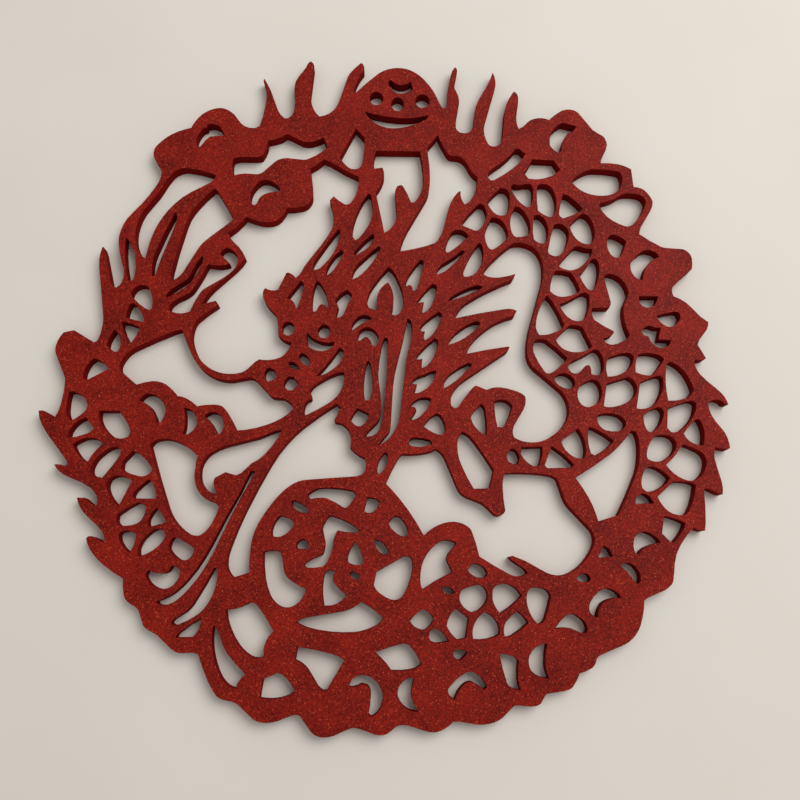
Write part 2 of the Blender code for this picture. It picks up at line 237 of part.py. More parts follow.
# The left side of the ring: small windows between the body's edge and its rows of scales.
RING_LEFT_CUTS = {
    "window_1": "-76.2,19.6! -75,19.9! -73.8,18.6 -72.6,16.8 -71.9,15.1 -71.7,14! -73.2,14.3"
                " -75.6,15! -77.1,15.4! -76.9,17.3",
    "window_2": "-78.2,14! -76,13.6 -74,13 -73,12.3! -73,11.5! -74.2,9 -75,7.8! -75.5,7.6!"
                " -76.2,8.7 -77.2,10.8 -78,12.7",
    "window_3": "-80.1,11.4! -79.2,10.6 -78.5,9.2 -78.1,7.5 -78.4,5.7 -79,4.8 -79.9,5 -81,5.7"
                " -82,6.9! -81.7,8.5 -80.9,10.3",
    "window_4": "-85.4,2.8! -83.9,2.3 -82.3,1.1 -81,-0.3! -85.3,-2.8! -87.2,-3.8! -88,-3.3!"
                " -88,-1.2 -87.2,0.8 -86.2,2.2",
    "window_5": "-91.8,-7.4! -90.3,-7.3! -89.2,-8.1 -87.7,-8.8 -86.7,-10 -86.3,-11.8 -86.9,-13"
                " -88.5,-14.3 -90,-15.5! -90.9,-15.7! -91.7,-14.3 -92.2,-11.5 -92,-9",
    "window_6": "-86.3,-14.9! -83.9,-18.1! -85.5,-19.4! -87.3,-20! -90.8,-20.9! -91,-19.6"
                " -90.2,-17.8 -88.7,-16.1",
    "window_7": "-82.6,-12.9! -77,-12.9! -76.2,-13.8 -75.3,-15.2 -74.3,-16.8 -73.5,-19 -73.7,-20"
                " -75,-20.8 -76.5,-20.9 -78,-20.5 -79.3,-19.6 -81,-17.9 -82.2,-16 -82.7,-14.2",
    "crescent_1": "-71.4,-9.8! -70.8,-8.8 -69.6,-7.8 -68,-7.8 -66.2,-8.7 -64.7,-10.3 -63.8,-12.3"
                  " -64.1,-14.2 -65,-16.2! -66,-16.3! -66.7,-14.6 -67.4,-12.7 -68.6,-11.2"
                  " -70.2,-10.2",
    "crescent_2": "-58.4,-12! -57,-12.2 -55.6,-13.3 -54.8,-15 -54.6,-16.9 -55.5,-18.2"
                  " -56.9,-19.6! -58.4,-19.5! -58,-17.5 -57.9,-15.2 -58.2,-13.3",
    "crescent_3": "-52.4,-14.2! -51.3,-13.3 -49.8,-13.1 -48.3,-13.7 -47.2,-15.2 -46.8,-17"
                  " -47.3,-18.6 -48,-19.6! -48.8,-18.9 -49.6,-17.3 -50.8,-15.7",
    "long_slit_1": "-38.6,-30.2! -37.2,-30.4! -38.4,-32.8 -40.2,-36 -42,-39.8 -43.8,-43.3"
                   " -45.4,-46.8 -46.8,-50.3 -48.4,-53.8 -50.2,-57.2 -52.2,-60.3 -54.3,-62.9"
                   " -56.5,-65.2 -58.7,-66.8 -60.5,-67.3 -62.5,-67.1! -63,-66.4! -61.5,-65.7"
                   " -59.3,-64.8 -56.8,-62.8 -54.6,-60.4 -52.5,-57.6 -50.5,-54.4 -48.7,-51 -47,-47.5"
                   " -45.3,-43.8 -43.3,-40 -41.3,-36.3 -39.8,-33",
    "long_slit_2": "-47.6,-57.3! -46.6,-57.6! -46.6,-60 -47.1,-62.6 -48,-65.2 -49.3,-67.5"
                   " -51.2,-69.6 -53.6,-71.1 -56,-72.2 -57.7,-72.7 -58.6,-72.1! -58,-71.2 -56,-70.1"
                   " -54,-68.4 -52.4,-66.2 -51.1,-63.6 -49.8,-61 -48.6,-58.9",
    "scale_1": "-89.5,-22.7! -88.2,-22 -86.5,-21 -84.5,-20.8 -82.5,-21.3 -81.1,-22.5! -82.5,-24.3"
               " -84,-26 -84.9,-27.7! -86.3,-27 -87.6,-25.8 -88.7,-24.3",
    "scale_2": "-78.8,-23.8 -77.2,-23.4 -75.9,-24! -75.8,-25.3 -77,-27.2 -78.5,-29.4 -80.4,-32.2!"
               " -82.3,-31.8 -83.5,-31.1 -83.8,-29.6 -83,-27.6 -81.8,-26 -80.3,-24.7",
    "scale_3": "-72.5,-24.7! -71.3,-24.9 -69.6,-26 -68,-27.6 -66.4,-30! -67.5,-31.2 -69,-31.8"
               " -71.5,-31.1! -74.3,-30.3! -75.2,-29.5! -75.3,-28.3 -74.3,-26.6",
    "scale_4": "-78.4,-32.7! -76.6,-31.7! -75,-31.8! -72,-33! -72.9,-35.2 -74,-37.8 -75.2,-40.2!"
               " -76.6,-39 -78.1,-36.8 -78.9,-34.7",
    "scale_5": "-67.3,-32.7! -66.2,-33.7 -65.3,-35.6 -64.9,-38.1! -70.8,-38.1! -71.5,-37.5!"
               " -70.8,-35.9 -69.4,-34.5",
    "scale_6": "-70.5,-39.5! -69,-39.4 -67.5,-40.4! -67.8,-42.2 -68.6,-44.1 -69.8,-45.1 -72,-45.7"
               " -74.2,-45.7! -75.5,-44.5 -75.5,-42.8! -73.8,-41.6 -72,-40.5",
    "scale_7": "-64.6,-40.7! -63.5,-41.8 -62.5,-43.3 -61.7,-44.8! -63.8,-45.3! -66.2,-46!"
               " -66.8,-44.7 -66.3,-43 -65.5,-41.7",
    "scale_8": "-74.4,-47.8! -72.8,-47.2 -71.2,-47.4 -69.8,-48! -70,-50 -70.6,-51.8 -71.2,-53.2!"
               " -72.6,-52.1 -73.9,-50.4 -74.5,-49!",
    "scale_9": "-64.4,-46.7! -62.9,-46.8 -61.8,-47.8! -61.9,-49.2 -63.2,-51.1 -65,-52.6"
               " -66.8,-53.4! -68.6,-54.2! -69,-52.8 -68.6,-51 -67.6,-49.3 -66.1,-47.8",
    "scale_10": "-65.7,-58! -64.3,-58.5 -62.3,-58.8 -60.5,-58.5 -59.4,-56.8! -58.3,-57"
                " -57,-58.1! -57.3,-60 -58.5,-61.8 -60.2,-62.9 -62.2,-63 -64.2,-62.2 -65.8,-60.7"
                " -66.4,-59.2",
    "scale_11": "-59.3,-48.9! -57.5,-49.5 -55.3,-50.7 -53.5,-52! -53.6,-53.2 -54.5,-54.6"
                " -56,-55.3 -57.8,-54.7 -59.3,-53.5 -60.5,-51.9! -60.2,-50.3!",
    "foot_1": "-50.6,-70.9! -50.7,-72.6 -51.4,-74.4 -52.8,-76! -57.2,-76! -56.4,-74.9 -54.5,-73.6"
              " -52.6,-72.3",
    "foot_2": "-47.1,-72.9! -46.2,-73.6! -45.2,-75.5 -44.3,-77.5 -43.5,-79.6 -42.3,-81.3"
              " -40.5,-83.1 -37.8,-85.7! -39.7,-87.6 -40.3,-89.3! -41.8,-88.9 -43.5,-87.6"
              " -44.9,-85.6 -46,-83 -46.9,-79.8 -47.3,-76.3",
    "foot_3": "-43.9,-68.7! -41,-68.2 -38.8,-67.5 -37.2,-66.5! -35.6,-67.3 -34,-69.3 -32.4,-71.7"
              " -30.7,-74.4! -32,-75.9 -33,-78 -33.1,-81! -34.8,-81.4 -36.8,-80.9 -39,-79.2"
              " -41,-76.8 -42.5,-74 -43.5,-71.2",
    "foot_4": "-33.1,-87! -31,-86.1! -29.2,-85.3! -27.6,-86 -26,-87.6 -24.4,-90! -26,-91.1"
              " -28.2,-91.8 -30.8,-92.1 -33.8,-91.8! -33.5,-89.5!",
}

# The mane, the neck and the head with its open mouth.
HEAD_CUTS = {
    "mane_1": "-5.7,56.2! -4.9,55.6! -4.6,53 -4.4,50.3 -4.9,47.5 -6,45 -7.5,42.7 -8.8,41.2"
              " -9.6,40.8 -10.2,41.5 -10.4,43.8 -10.1,46.5 -9.2,49.5 -8.2,52 -7.1,54.2",
    "mane_2": "-14.8,44.2! -14.2,43.9! -14.3,42.2 -14.9,40.3 -15.3,38.5 -16.3,36.3 -17.8,34.1"
              " -19.4,32.3 -20.8,31.2 -21.8,31! -22.2,32.2 -21.2,34.6 -19.9,36.8 -18.4,38.9"
              " -16.9,41 -15.6,43.1",
    "mane_3": "-13.9,37.4! -13.2,37! -13.5,35.6 -14.4,33.9 -15.3,32.2 -16.5,30.5 -17.7,29.4!"
              " -18.2,29.8! -18.1,31.3 -17.2,33.2 -16,35.1 -14.9,36.6",
    "mane_4": "-4.4,42.8! -3.8,42.3! -4,41 -4.8,39.5 -6.2,38 -7.7,36.9 -9.3,36! -10.1,36.3!"
              " -9.2,37.7 -7.7,39.3 -6.2,41",
    "mane_5": "-2.5,38.8! -1.8,38.4! -2.3,37 -3.3,35.4 -4.4,33.5 -5.9,31.5 -7.6,29.7 -9.2,28.6"
              " -10.2,28.1! -10.3,29.7 -9.7,31.5 -8.6,33.1 -6.8,34.9 -4.6,36.8",
    "mane_base": "-21.1,27.4! -20.3,27.2! -19.3,25.8 -18.3,23.7 -17.6,21.5 -17.4,19.4! -17.9,19!"
                 " -18.6,20 -19.5,20.2 -20.3,19.3 -20.9,18 -21.6,17.7 -22.1,18.8 -22.2,21.5"
                 " -21.9,24.5",
    "horn_drop": "0.6,32.2! 1.7,31.2 2.9,29.2 4,26.7 4.8,24.2 5.1,21.5 4.9,19.5 4.2,17.9 3.1,16.9"
                 " 1.6,17! 1.9,18.7 2.2,21 2,23.7 1.4,25.7 0.5,27.3! -0.8,26.4 -2,24.9 -2.8,22.8"
                 " -2.9,20.7 -2.8,18.2! -4,18.6 -5.3,19.2! -5.8,21 -5.3,23.4 -4.2,25.8 -2.6,28"
                 " -0.9,30.1",
    "neck_leaf": "10.4,34.7! 11.2,34.3! 11.1,32.8 10.4,30 9.6,27.2 9,25.2 8.3,24.6 7.8,25 7.5,26.3"
                 " 6.9,26.5 6,26! 6.1,28 7,30.1 8.2,31.9 9.4,33.5",
    "neck_slot_1": "18,37.7! 18.2,39.4 19.1,41.8 20.3,44 21.4,44.5 23,44.2 24.5,43.4 25,42.3!"
                   " 23.8,41.1 22,39.5 20,37.9 19,37.2 18.4,37.1",
    "neck_slot_2": "15.3,29.9! 16.8,30.5 18.8,31.9 20.8,33.8 22.4,35.6 23.9,37.4! 22.8,37.7!"
                   " 21.2,36.1 19.2,34.7 17,33.3 15.6,31.7",
    "neck_slot_3": "28.2,40.2! 28.9,39.9! 29.4,38 29.3,35.3 28.6,33 27.6,31.2 26.3,30.1 24.5,29.3"
                   " 23.5,29.4 23.3,30.5 23.9,32.5 24.9,34.9 26.1,37.2 27.3,39.2",
    "neck_slot_4": "18.2,21.3! 20,21.7 22.2,22.6 24.5,23.7 26.8,24.8 28.2,25.3! 29.1,26.1!"
                   " 27.5,26.5 25.8,26.1 24,25.2 21.5,24 19.5,22.7",
    "neck_slot_5": "18.4,7.8! 20.2,8.4 22.4,9.4 24.6,10.9 26.2,12.5 27.7,13.7! 28,14.9! 26.3,15"
                   " 24.2,13.8 22,12.5 20.2,10.9 19,9.3",
    "neck_slot_6": "17,-5.5! 18.6,-4.5 20.5,-3.2 22.3,-1.6 23.6,0! 24.7,0.7! 25.3,1.9! 24.2,2.2!"
                   " 22.8,1.2 20.9,0 19.2,-0.9 17.9,-2.3 17.1,-4",
    "fork_1": "13.9,26.9! 15.1,26.4! 15,24.3 14.3,21.9 13.2,19.7 11.9,18.1 10.7,17.7! 10.9,19.2"
              " 11.3,21.1! 10.2,21 9,20.5! 9.8,22.1 11.2,23.8 12.8,25.5",
    "fork_2": "15.7,18! 16.6,17.4! 16.2,15.5 15.3,13.3 13.9,11.2 12.5,9.7 11.4,9.2! 11.2,10.4"
              " 11.5,11.9! 10.7,11.9 9.9,12.3! 10.7,13.9 12.2,15.4 14,16.7",
    "fork_3": "14.5,9.8! 15.3,9.1! 15.2,7.2 14.5,5 13.3,2.8 12,1.3 10.5,0.6! 10.7,2.1 10.7,3.5!"
              " 9.8,3.2 8.8,3.3! 9.6,5 11.2,6.5 13,8.1",
    "fork_4": "13.4,-0.4! 14.7,-0.3! 14.4,-1.9 13.6,-3.7 12.3,-5.2 10.8,-6.3 9.2,-7! 8,-6.8!"
              " 8.8,-5.6 9.1,-4.4! 8.3,-4.2 7.5,-4.2! 8.1,-2.9 9.7,-1.9 11.7,-1.3",
    "fork_5": "7,-10.9! 8.4,-9.4 10,-8.5 11.6,-8.3 13.2,-8.8! 12.7,-10.4 11.6,-12.2 10.2,-13.7"
              " 8.6,-14.8 7.1,-15! 8.1,-13.6 8.9,-12.2 8.7,-11.5 7.9,-11.2",
    "fork_6": "14.2,-13.4! 15.4,-13.3 16.5,-14.7 17.2,-16.8 17.1,-18.6 16,-19.4 14,-18.7 12.1,-17.8"
              " 10.9,-16.9! 12.2,-15.1",
    "brow_long": "-25.8,27.4! -25,26.6! -25,25 -25.4,23 -26,20.9 -26.6,18.9! -27.1,18.9! -27.5,20.3"
                 " -28.3,21.3 -29.8,21.9! -29,23.3 -27.6,25",
    "brow_leaf": "-15.3,21! -14.6,22.4 -13.2,23.7 -11.7,24.7! -10.4,23.3! -10.6,22 -11.6,20.3"
                 " -12.4,18.3 -13.1,16.6 -14.2,15.9 -15.1,16.1! -14.8,17.8 -14.3,19.5 -14.9,20.4",
    "under_eye": "-23.5,11.2! -22.4,9.9 -20.8,8.9 -19,8.3 -17.2,8.1 -15.4,8.3! -15.6,7.3 -16.4,6.4"
                 " -18,5.7 -20,5.6 -21.8,6.2 -22.9,7! -23.4,8.7",
    "ear_upper": "-4.3,15.7! -5.3,16.5 -6.8,16.9 -8.3,16.2 -9.5,14.9 -10.3,13.2 -10.2,11.9!"
                 " -9.2,12.7 -7.7,13.9 -6,14.8",
    "ear_lower": "-8.5,8.9! -8.4,10.4 -7.4,12.3 -5.8,13 -4.1,12.5 -2.8,11.2 -2.2,9.5 -2.6,8"
                 " -3.5,7.1 -4.2,7.6 -4.9,9.2 -5.9,10.1 -6.9,9.8 -7.7,8.9",
    "lip_dash_1": "-25.7,3.9 -25.1,4.8 -24,4.5 -22.9,3.4 -22.4,1.9 -22.7,0.9 -23.8,1.3 -25,2.5",
    "lip_dash_2": "-28.8,1.9! -27.6,2.1 -26.2,1.2 -25.4,-0.1! -26.5,-0.1 -27.8,0.6 -28.4,1.1",
    "jaw_dot_1": "-34.2,0.3 -33,-0.3 -32.2,-1.6 -32.3,-2.8 -33.4,-3.5 -34.7,-3.8! -35.2,-3!"
                 " -35.6,-1.5 -35.3,-0.2",
    "jaw_dot_2": "-28.6,-2.3! -27.5,-2.3 -26.3,-3.3 -25.6,-4.5! -26.7,-5.9! -27.3,-6.4!"
                 " -28.7,-6.4! -29.5,-5.8! -29.9,-4.6 -29.4,-3.2",
    "cheek_slit": "-13.9,6.5! -12.8,6.1! -12.6,4.7 -13.3,2.8 -14.5,1.1 -16.2,-0.3 -18.2,-1.5"
                  " -20.5,-2.1! -19.4,-0.6 -17.7,1.2 -16,3.3 -14.8,5.2",
    "mouth": "-12.4,-0.9! -14.5,-1.2 -16.8,-2.6 -19.3,-3.7 -21.3,-5.2 -22.3,-6.6! -21.8,-7.5"
             " -21.7,-9.1! -22.9,-9.6 -23.6,-11 -23.8,-13! -23.3,-13.8! -21.5,-12.9 -19,-11.5"
             " -16.5,-10 -14.5,-8.2 -13.1,-6.1 -12.4,-3.7 -12.3,-1.8",
    "throat_slot": "-5.4,2.8! -4.8,2 -4.5,0.2 -4.2,-2.5 -4,-5.3 -4.3,-7.8 -4.8,-9.2! -6.1,-9.3!"
                   " -6.5,-7 -6.5,-4 -6.2,-1 -5.9,1.3",
    "throat_dot": "-8.2,-11.7! -6.8,-12.2 -5,-13.3! -5.5,-14.8 -6.4,-16.4 -7.9,-17 -9.2,-16.4"
                  " -10.3,-15! -9.5,-13.4!",
    "throat_line_1": "-0.4,9.9! 0.3,9.6! 0.5,8 0.3,4 0.2,0 -0.1,-4 -0.3,-8 -0.6,-12 -1.1,-15.5"
                     " -2,-18 -3.2,-19.4 -4.5,-19.8 -6.1,-20! -5.3,-18.7 -3.6,-17.1 -2.2,-15.4"
                     " -1.5,-13.2 -1.3,-10.5 -1.6,-7 -2,-3.5 -2.3,-0.5 -2,3 -1.5,6.3 -1,8.7",
    "throat_line_2": "6.3,15.7! 6.9,15.5 7.5,13.5 7.7,11.5 7.4,9 6.6,6.5 6,3.5 5.6,0.5 5.1,-3.5"
                     " 4.7,-7.5 4.4,-11 4,-14 3.4,-16.5 2.2,-18.8 0.5,-20.8 -1.2,-22.1 -2.6,-22.7!"
                     " -1.6,-21.4 -0.3,-20 1.1,-18.2 1.5,-16 1.7,-12.5 2,-8.5 2.1,-4.5 2.6,-0.8"
                     " 3.5,3 4.4,6.5 5.1,9.5 5.7,12.5 6,15!",
    "elbow_oval": "6.4,-21.7! 6.9,-20.8 8,-20.3 10,-20.5 12,-20.8 13.2,-21.3 13.3,-22 12.3,-22.5"
                  " 10.5,-22.9 8,-22.8 6.8,-22.4",
    "elbow_leaf": "-0.4,-24.8! 0.1,-24.7! 0.6,-26 0.4,-27.5 -0.2,-29 -1.2,-30.4 -2,-31! -2.4,-30!"
                  " -2.3,-28.5 -1.8,-26.8 -0.9,-25.3",
    "claw_dot": "27.8,-10.2! 28.6,-10.9 29,-13 29.1,-15.5 29.3,-18! 29,-19.5! 27.8,-18.8 26.3,-17.4"
                " 25.2,-15.7 24.7,-14.1! 25.7,-12.5 27,-11!",
    "claw_arch": "31.8,-9.4! 33.5,-8.9 35.2,-9.1 37,-10.8! 36.1,-13.3 35.1,-15.7 33.9,-17.1"
                 " 32.5,-17! 31.9,-13.5",
    "claw_lens": "22.2,-18.5! 24.2,-19.7 26,-22 27.3,-24.1 28.7,-26.2 30,-28.1 31.1,-29.7!"
                 " 30.6,-32 29.7,-34.9! 25.2,-35! 23.8,-32.4 22.3,-29.4 21.1,-26.2 20.7,-23"
                 " 20.9,-20.5",
}

# The body's scales, from the neck down the right side, and the fins outside them.
SCALE_CUTS = {
    "body_1": "23,46.1! 25,45.2 26.5,44.5 27.6,44.3 28.5,44.8 29.5,46 30.2,47.5 30.8,49.5 30.4,51.5"
              " 29.6,53 28.7,53.2 28,52.7 27,51.5 25.3,49.5 23.8,47.8",
    "body_2": "31.2,53.6! 31.8,52.2 32.9,50.6 34.3,49.6 36,49.5 37.2,50! 37.8,52.5 38.1,55 37.9,57"
              " 37,58.2 35.3,58.5 34.3,57.6 33,56 31.6,54.6",
    "body_3": "38.7,58.2! 39.2,59.9 41,59.6 43,60 44.7,60! 45.3,59 45.4,57 45.1,54.5 44.6,52.9"
              " 43.9,52.2 42.8,52.8 41.2,54 39.8,56",
    "body_4": "46.7,58.4! 47.2,59.8 48.5,60 50.3,59.8 51.5,58.4 52.3,56.3 52.6,54 52.2,51.5"
              " 51.5,49.7 50.7,49 49.5,49.4 47.8,50.4 46.8,51.3! 46.6,54.5",
    "body_5": "54.8,56.8! 56.3,56.3 58.2,54.7 59.8,53 60.6,52.1! 59.5,50.9! 57.5,50 55.5,49.1"
              " 54.1,48.8 53.5,49.5 53.5,51.8 54.1,54.6",
    "body_6": "32.3,48.6! 34,48.5 35.6,47.4 36.7,45.5 37.2,43.3 36.8,41.8 35.3,40.4 33.6,38.9"
              " 32,38.2 31.2,38.7 30.7,40.5 30.1,42.5 30.6,44.7 31.5,46.8",
    "body_7": "39.8,52.4! 40.7,52.3 42.2,50.9 43.4,48.9 44.1,46.5 44,44.3 43.3,43 41.5,42.8"
              " 39.8,42.4 39,42.9 38.3,44.8 38,47 38.5,49.5 39.2,51.5",
    "body_8": "45.5,49.4! 46.6,49.8 48,49.1 49.1,47.4 49.7,45 49.4,42.7 48.8,40.8 47.9,40.3"
              " 46.3,40.8 45.2,41.7! 45,44 45.3,47",
    "body_9": "51.6,46.5! 52.5,46.9 54,46.6 55.4,45.5 56,43.6 55.5,41.2 54.8,39 53.6,37.2 52.3,36.3"
              " 50.8,36.4 49.6,37.2 49.6,39.3 50.2,41.7 51,44.5",
    "body_10": "56.4,46.3! 57.8,47.7 59.3,49.3 60.4,50.2 61.7,50 62.8,48.8 63.7,46.8 64,44.3"
               " 63.7,42 62.8,40.6 61.3,40.3 59.6,40.9 58,42.3 57,44.2",
    "body_11": "52.3,33.1! 53.8,34.9 55.4,36.6 57,38.6 58,39.4 60.5,38.9 62.9,38.6! 62.8,37.3!"
               " 61.6,35.4 60.1,33.7 58.3,32.3 56.2,31.7 54,32.1",
    "body_12": "58.7,30.1! 60,31.8 61.6,33.5 62.8,35.3 63.8,35.5 64.6,34.2 64.7,31.5 64.2,28.7"
               " 63.3,26.5 62.1,25.3 61.2,25.7 59.8,27.6",
    "body_13": "51.1,31! 52.2,31.5 54,31 56.1,30.8 57.2,29.1 58.1,27 58.6,25.3! 57.2,24.2 55,23.4"
               " 52.5,23.2 50.7,23.9 49.5,25! 49.7,26.8 50.4,29.2",
    "body_14": "52.2,20.7! 54.5,21.7! 57,23! 58.8,24.2 60.3,24.5 61.3,23.8! 61.3,21.5 60.7,18.8"
               " 59.8,16.6 58.8,15.7! 57.2,15.5 55.6,16 54.2,17.2 53.1,18.6",
    "body_15": "48.4,23.4! 49.8,21.9 51.1,19.3 52.2,16.8 53.3,14.3! 52.4,13! 50.5,12 48,11.2"
               " 45.7,11.1! 44.9,12.8 45.1,15.8 45.9,18.8 47.1,21.4",
    "body_16": "50.6,9.6! 52.1,11.1 53.8,13 55.3,14.2 57,13.9 58.8,13.5! 59.8,11.3 60.8,9 61.4,7.6!"
               " 60,6.5 57.8,5.9 55.2,5.9 53,6.7 51.5,8",
    "body_17": "44.5,9.4! 46.2,9.7 48,9.2 50,7.6 52,5.7 53.8,4! 52.9,2.7 51.3,1.2 49.6,-0.2 48,-0.8"
               " 46.9,-0.2! 45.5,2 44.3,4.5 43.7,7",
    "body_18": "49.7,-2.8 50.3,-1.6 51.5,-0.9 53.2,-0.8 54.8,-1.8 55.8,-3.3 55.5,-4.6 54.3,-5.4"
               " 52.8,-5.3 51,-4.2",
    "body_19": "53.9,0.9! 54.7,2.4 56.2,3.5 58.2,4.3 60.2,5.4 61.6,6.4 62.9,6.5 63.9,5.4 64.5,3.2"
               " 64.5,1 63.8,-0.6 62.3,-1.2 60.8,-0.8! 60.7,0.6 60.1,1.9 59.2,1.7 58.2,0.7"
               " 57.2,-0.5! 56,-0.8 54.6,-0.2",
    "body_20": "57.3,-4.5! 59.3,-3.3 61.2,-2.6 62.7,-3.3 63.5,-5.2 63.5,-7.3 62.7,-9.1 61,-10.4"
               " 59,-10.9 57.4,-10.1 56.5,-8.4 56.5,-6.2",
    "body_21": "62.2,-13.3! 67.2,-13! 68.7,-13.6 69.9,-14.8 70.2,-16 69.2,-17.4 67.8,-18.1!"
               " 64.7,-18! 63.1,-17.1 62,-15.5",
    "body_22": "51,-21! 53.2,-19.4! 55,-17.9! 56,-17.4! 57,-19 57.8,-21.5 58,-24 57.4,-26.1!"
               " 55.6,-26.1 53.6,-25.1 51.9,-23.4",
    "body_23": "59.2,-16.9! 61.5,-17.7 64,-19.2 66.3,-20.9! 65.5,-22 63.5,-23.4 61.5,-24.8"
               " 60.2,-25.2 59.4,-24.5! 59,-22.5",
    "fin_1": "66.3,53.9! 68.5,54.5 70.8,55.4 73,56.8 75,57.3 77.3,57.2 79.3,56.6 80.5,55.2"
             " 80.2,53.2 79.3,51.5 78.3,49.6 77,47.9 75.6,46.6 74.4,46.3 72,47.1 70,48.1 68.2,49.5"
             " 67,51 66.3,52.4!",
    "fin_2": "68.1,42.3! 69,43.4 70.5,43.2 72.5,42.3 73.6,41.3! 73.2,39.8 72.4,38.2 71.5,36.4"
             " 70.5,35.9 69.4,36.3 68.4,37.5 67.8,39.2",
    "fin_3": "83.5,36.2! 82.7,37.6 81,38.3 79.2,38.4 77.8,37.6 76.4,36.4 75,34.9 74.5,33 74.8,31.2"
             " 75.8,29.8 77,28.9 78,28.8! 78.4,30.7 78.9,32.3 80,34 81.5,35.4",
    "fin_4": "66.3,29.8! 67.5,30.6 69.3,30.3 71,29.3 72.4,27.6 73.2,25.6 73.3,24.2! 72.5,22.7"
             " 71.7,20.7 71.4,18 71.6,15.5 72.2,13.2 72.9,11.3! 71.9,10! 70.2,9 68.3,8.3 66.8,8.3"
             " 65.6,9 64.9,10! 66.3,10.5 67.6,11.2 68.3,12.2 67.2,13 65.6,14 63.9,15 62.4,16.2"
             " 61.9,17.8 62,19.6! 67.2,19.7! 67.8,21 67.6,23 67.1,25.3 66.5,27.7",
    "fin_5": "76.6,23.5! 82.3,23.5! 81.8,22 80.8,20.6 79.4,20 77.9,20.2 76.8,21.2 76.5,22.3",
    "fin_6": "81.7,17.4! 83.5,17.8 85.5,18.3 87,18.7 88.3,18.4 88.7,17.3 88.2,15.9 87,14.7"
             " 86.2,14.1 85,13.9 83.7,14.5 82.5,15.5 81.7,16.6!",
    "fin_7": "76.6,12.2! 77.5,13.5 78.9,14.2 80.5,13.7! 82.4,13.6! 82.2,12.2 81.6,10.9 81.5,9.9!"
             " 85.1,9.7! 84.8,8.5 83.7,7.8 82.3,7.3 80.9,7.6 79.8,8.6 79.1,10.1 78.6,10.9!"
             " 77.4,11.2",
}

# The right side of the ring: leaves between the body and the rim.
RING_RIGHT_CUTS = {
    "leaf_1": "66.1,4! 68.2,4.9 70.3,5.5 72.2,5.6 73.5,4.8 73.4,3 72.4,1.3 71,0 69.2,-1 67.3,-1.5"
              " 65.6,-1.6! 65.4,-0.8",
    "leaf_2": "75.1,5.1! 77,5.6 79.5,5.5 81.6,4.9 82.8,3.8! 81.9,2.5 80.5,0.8 79.4,-0.6 78.2,-1.2"
              " 76.2,-0.8 74.1,-0.2! 74.1,1.6 74.6,3.4",
    "leaf_3": "65.2,-3.8! 67.5,-3 69.8,-2.3 71.6,-1.8 73.1,-2.7 74.1,-4.6 73.8,-6.7 72.4,-8.4"
              " 70.4,-9.7 68,-10.5 65.5,-10.9 64,-10.6! 64.4,-8.3 64.9,-6",
    "leaf_4": "75.2,-3.5! 77.5,-2.7 79.6,-1.8 80.9,-1.3 81.9,-1.8! 82,-3.8 81.5,-6.2 80.4,-8.3"
              " 79,-9.9 77,-11 75,-11.4 73.7,-11.2! 74,-8.8 74.7,-6",
    "leaf_5": "83.5,2.2! 84.5,3 86,2.4 87.8,0.9 89.4,-1.2 90.4,-3.3 91,-5.3! 89.9,-7.1 88.2,-8.1"
              " 86,-8.7 83.2,-8.8! 82.9,-6",
    "leaf_6": "75.7,-13.3! 77.5,-12.2 79.3,-11 80.6,-10.9 81.4,-11.8 81.3,-13.7 80.5,-15.6"
              " 79.2,-17.2 77.7,-18.3 76.5,-17.9 75.9,-16.2 75.5,-14.6!",
    "leaf_7": "82.9,-11.2! 85.5,-10.2 88.2,-9.3 90,-8.9 91.4,-9.6! 91.2,-11.3 90.4,-13.2 89.2,-15"
              " 87.4,-16.7 85.4,-18 83.6,-18.3 82.6,-17.5 82.5,-15",
    "leaf_8": "90.9,-14.5! 91.9,-14.5 92.7,-16 93.1,-18.3 93,-20.5 92.5,-22.2! 90.8,-22 89,-21.1"
              " 87.6,-19.7 87.1,-18.7! 88.2,-17.2 89.7,-15.8",
    "leaf_9": "75.8,-24.6 76.4,-22.5 77.5,-20.7 79,-19.4 81.3,-19.2 83.3,-19.7 84.5,-21.2 84.4,-23"
              " 83.4,-24.6 81.5,-26 79.5,-26.9 77.6,-26.9 76,-26.2!",
    "leaf_10": "81.2,-27.9! 82.8,-26.4 84.5,-24.7 85.5,-23.1 86.7,-21.9! 88.7,-22.7 91.5,-24!"
               " 92.8,-25.5 92.9,-28 91.9,-30.3 90.2,-31.9 88.2,-32.5 85.7,-31.9 83.5,-30.5",
    "leaf_11": "75,-29.2! 76,-28.6 77.7,-28.6 79.5,-29.5 81.1,-30.6 82,-31.7! 80.8,-33.4 79,-34.6"
               " 76.8,-35.5 74.6,-35.5 73.7,-34.4! 73.8,-32.3 74.4,-30.4",
    "leaf_12": "71.7,-39.1! 72,-37.4 73,-36.5 74.8,-36.5 76,-37.5 76.9,-39.1!",
    "leaf_13": "78.1,-37.2! 80.3,-35.4! 82.9,-32.9! 85.3,-32.8 88.4,-33.2! 89.4,-33.9! 88.8,-36.5"
               " 87.8,-39 86.8,-41.4! 85.5,-42.3 83.3,-42.3 81,-41.3 79.4,-39.6",
    "leaf_14": "79.6,-42.8! 81.2,-43 83.5,-43.9 85.5,-44.7! 84.8,-46.5 83.4,-48.3 82,-50!"
               " 80.9,-49.9! 78.7,-47.6! 79.1,-45.2",
    "leaf_15": "70.4,-50 71,-48.4 72.3,-47.5 74,-47.2 75.8,-47.9 77.2,-49 78,-50.1! 76,-50.6"
               " 73.9,-51.3 72.5,-52.3 71.6,-53.5! 70.8,-53.1! 70.3,-51.8",
    "leaf_16": "66.3,-56.7! 67.2,-56 68.8,-56 70.3,-56.9 71.4,-58.5 71.7,-60.3 71,-61.7!"
               " 70.2,-61.3! 69.6,-60.2 68.5,-58.9 67.2,-57.8",
}

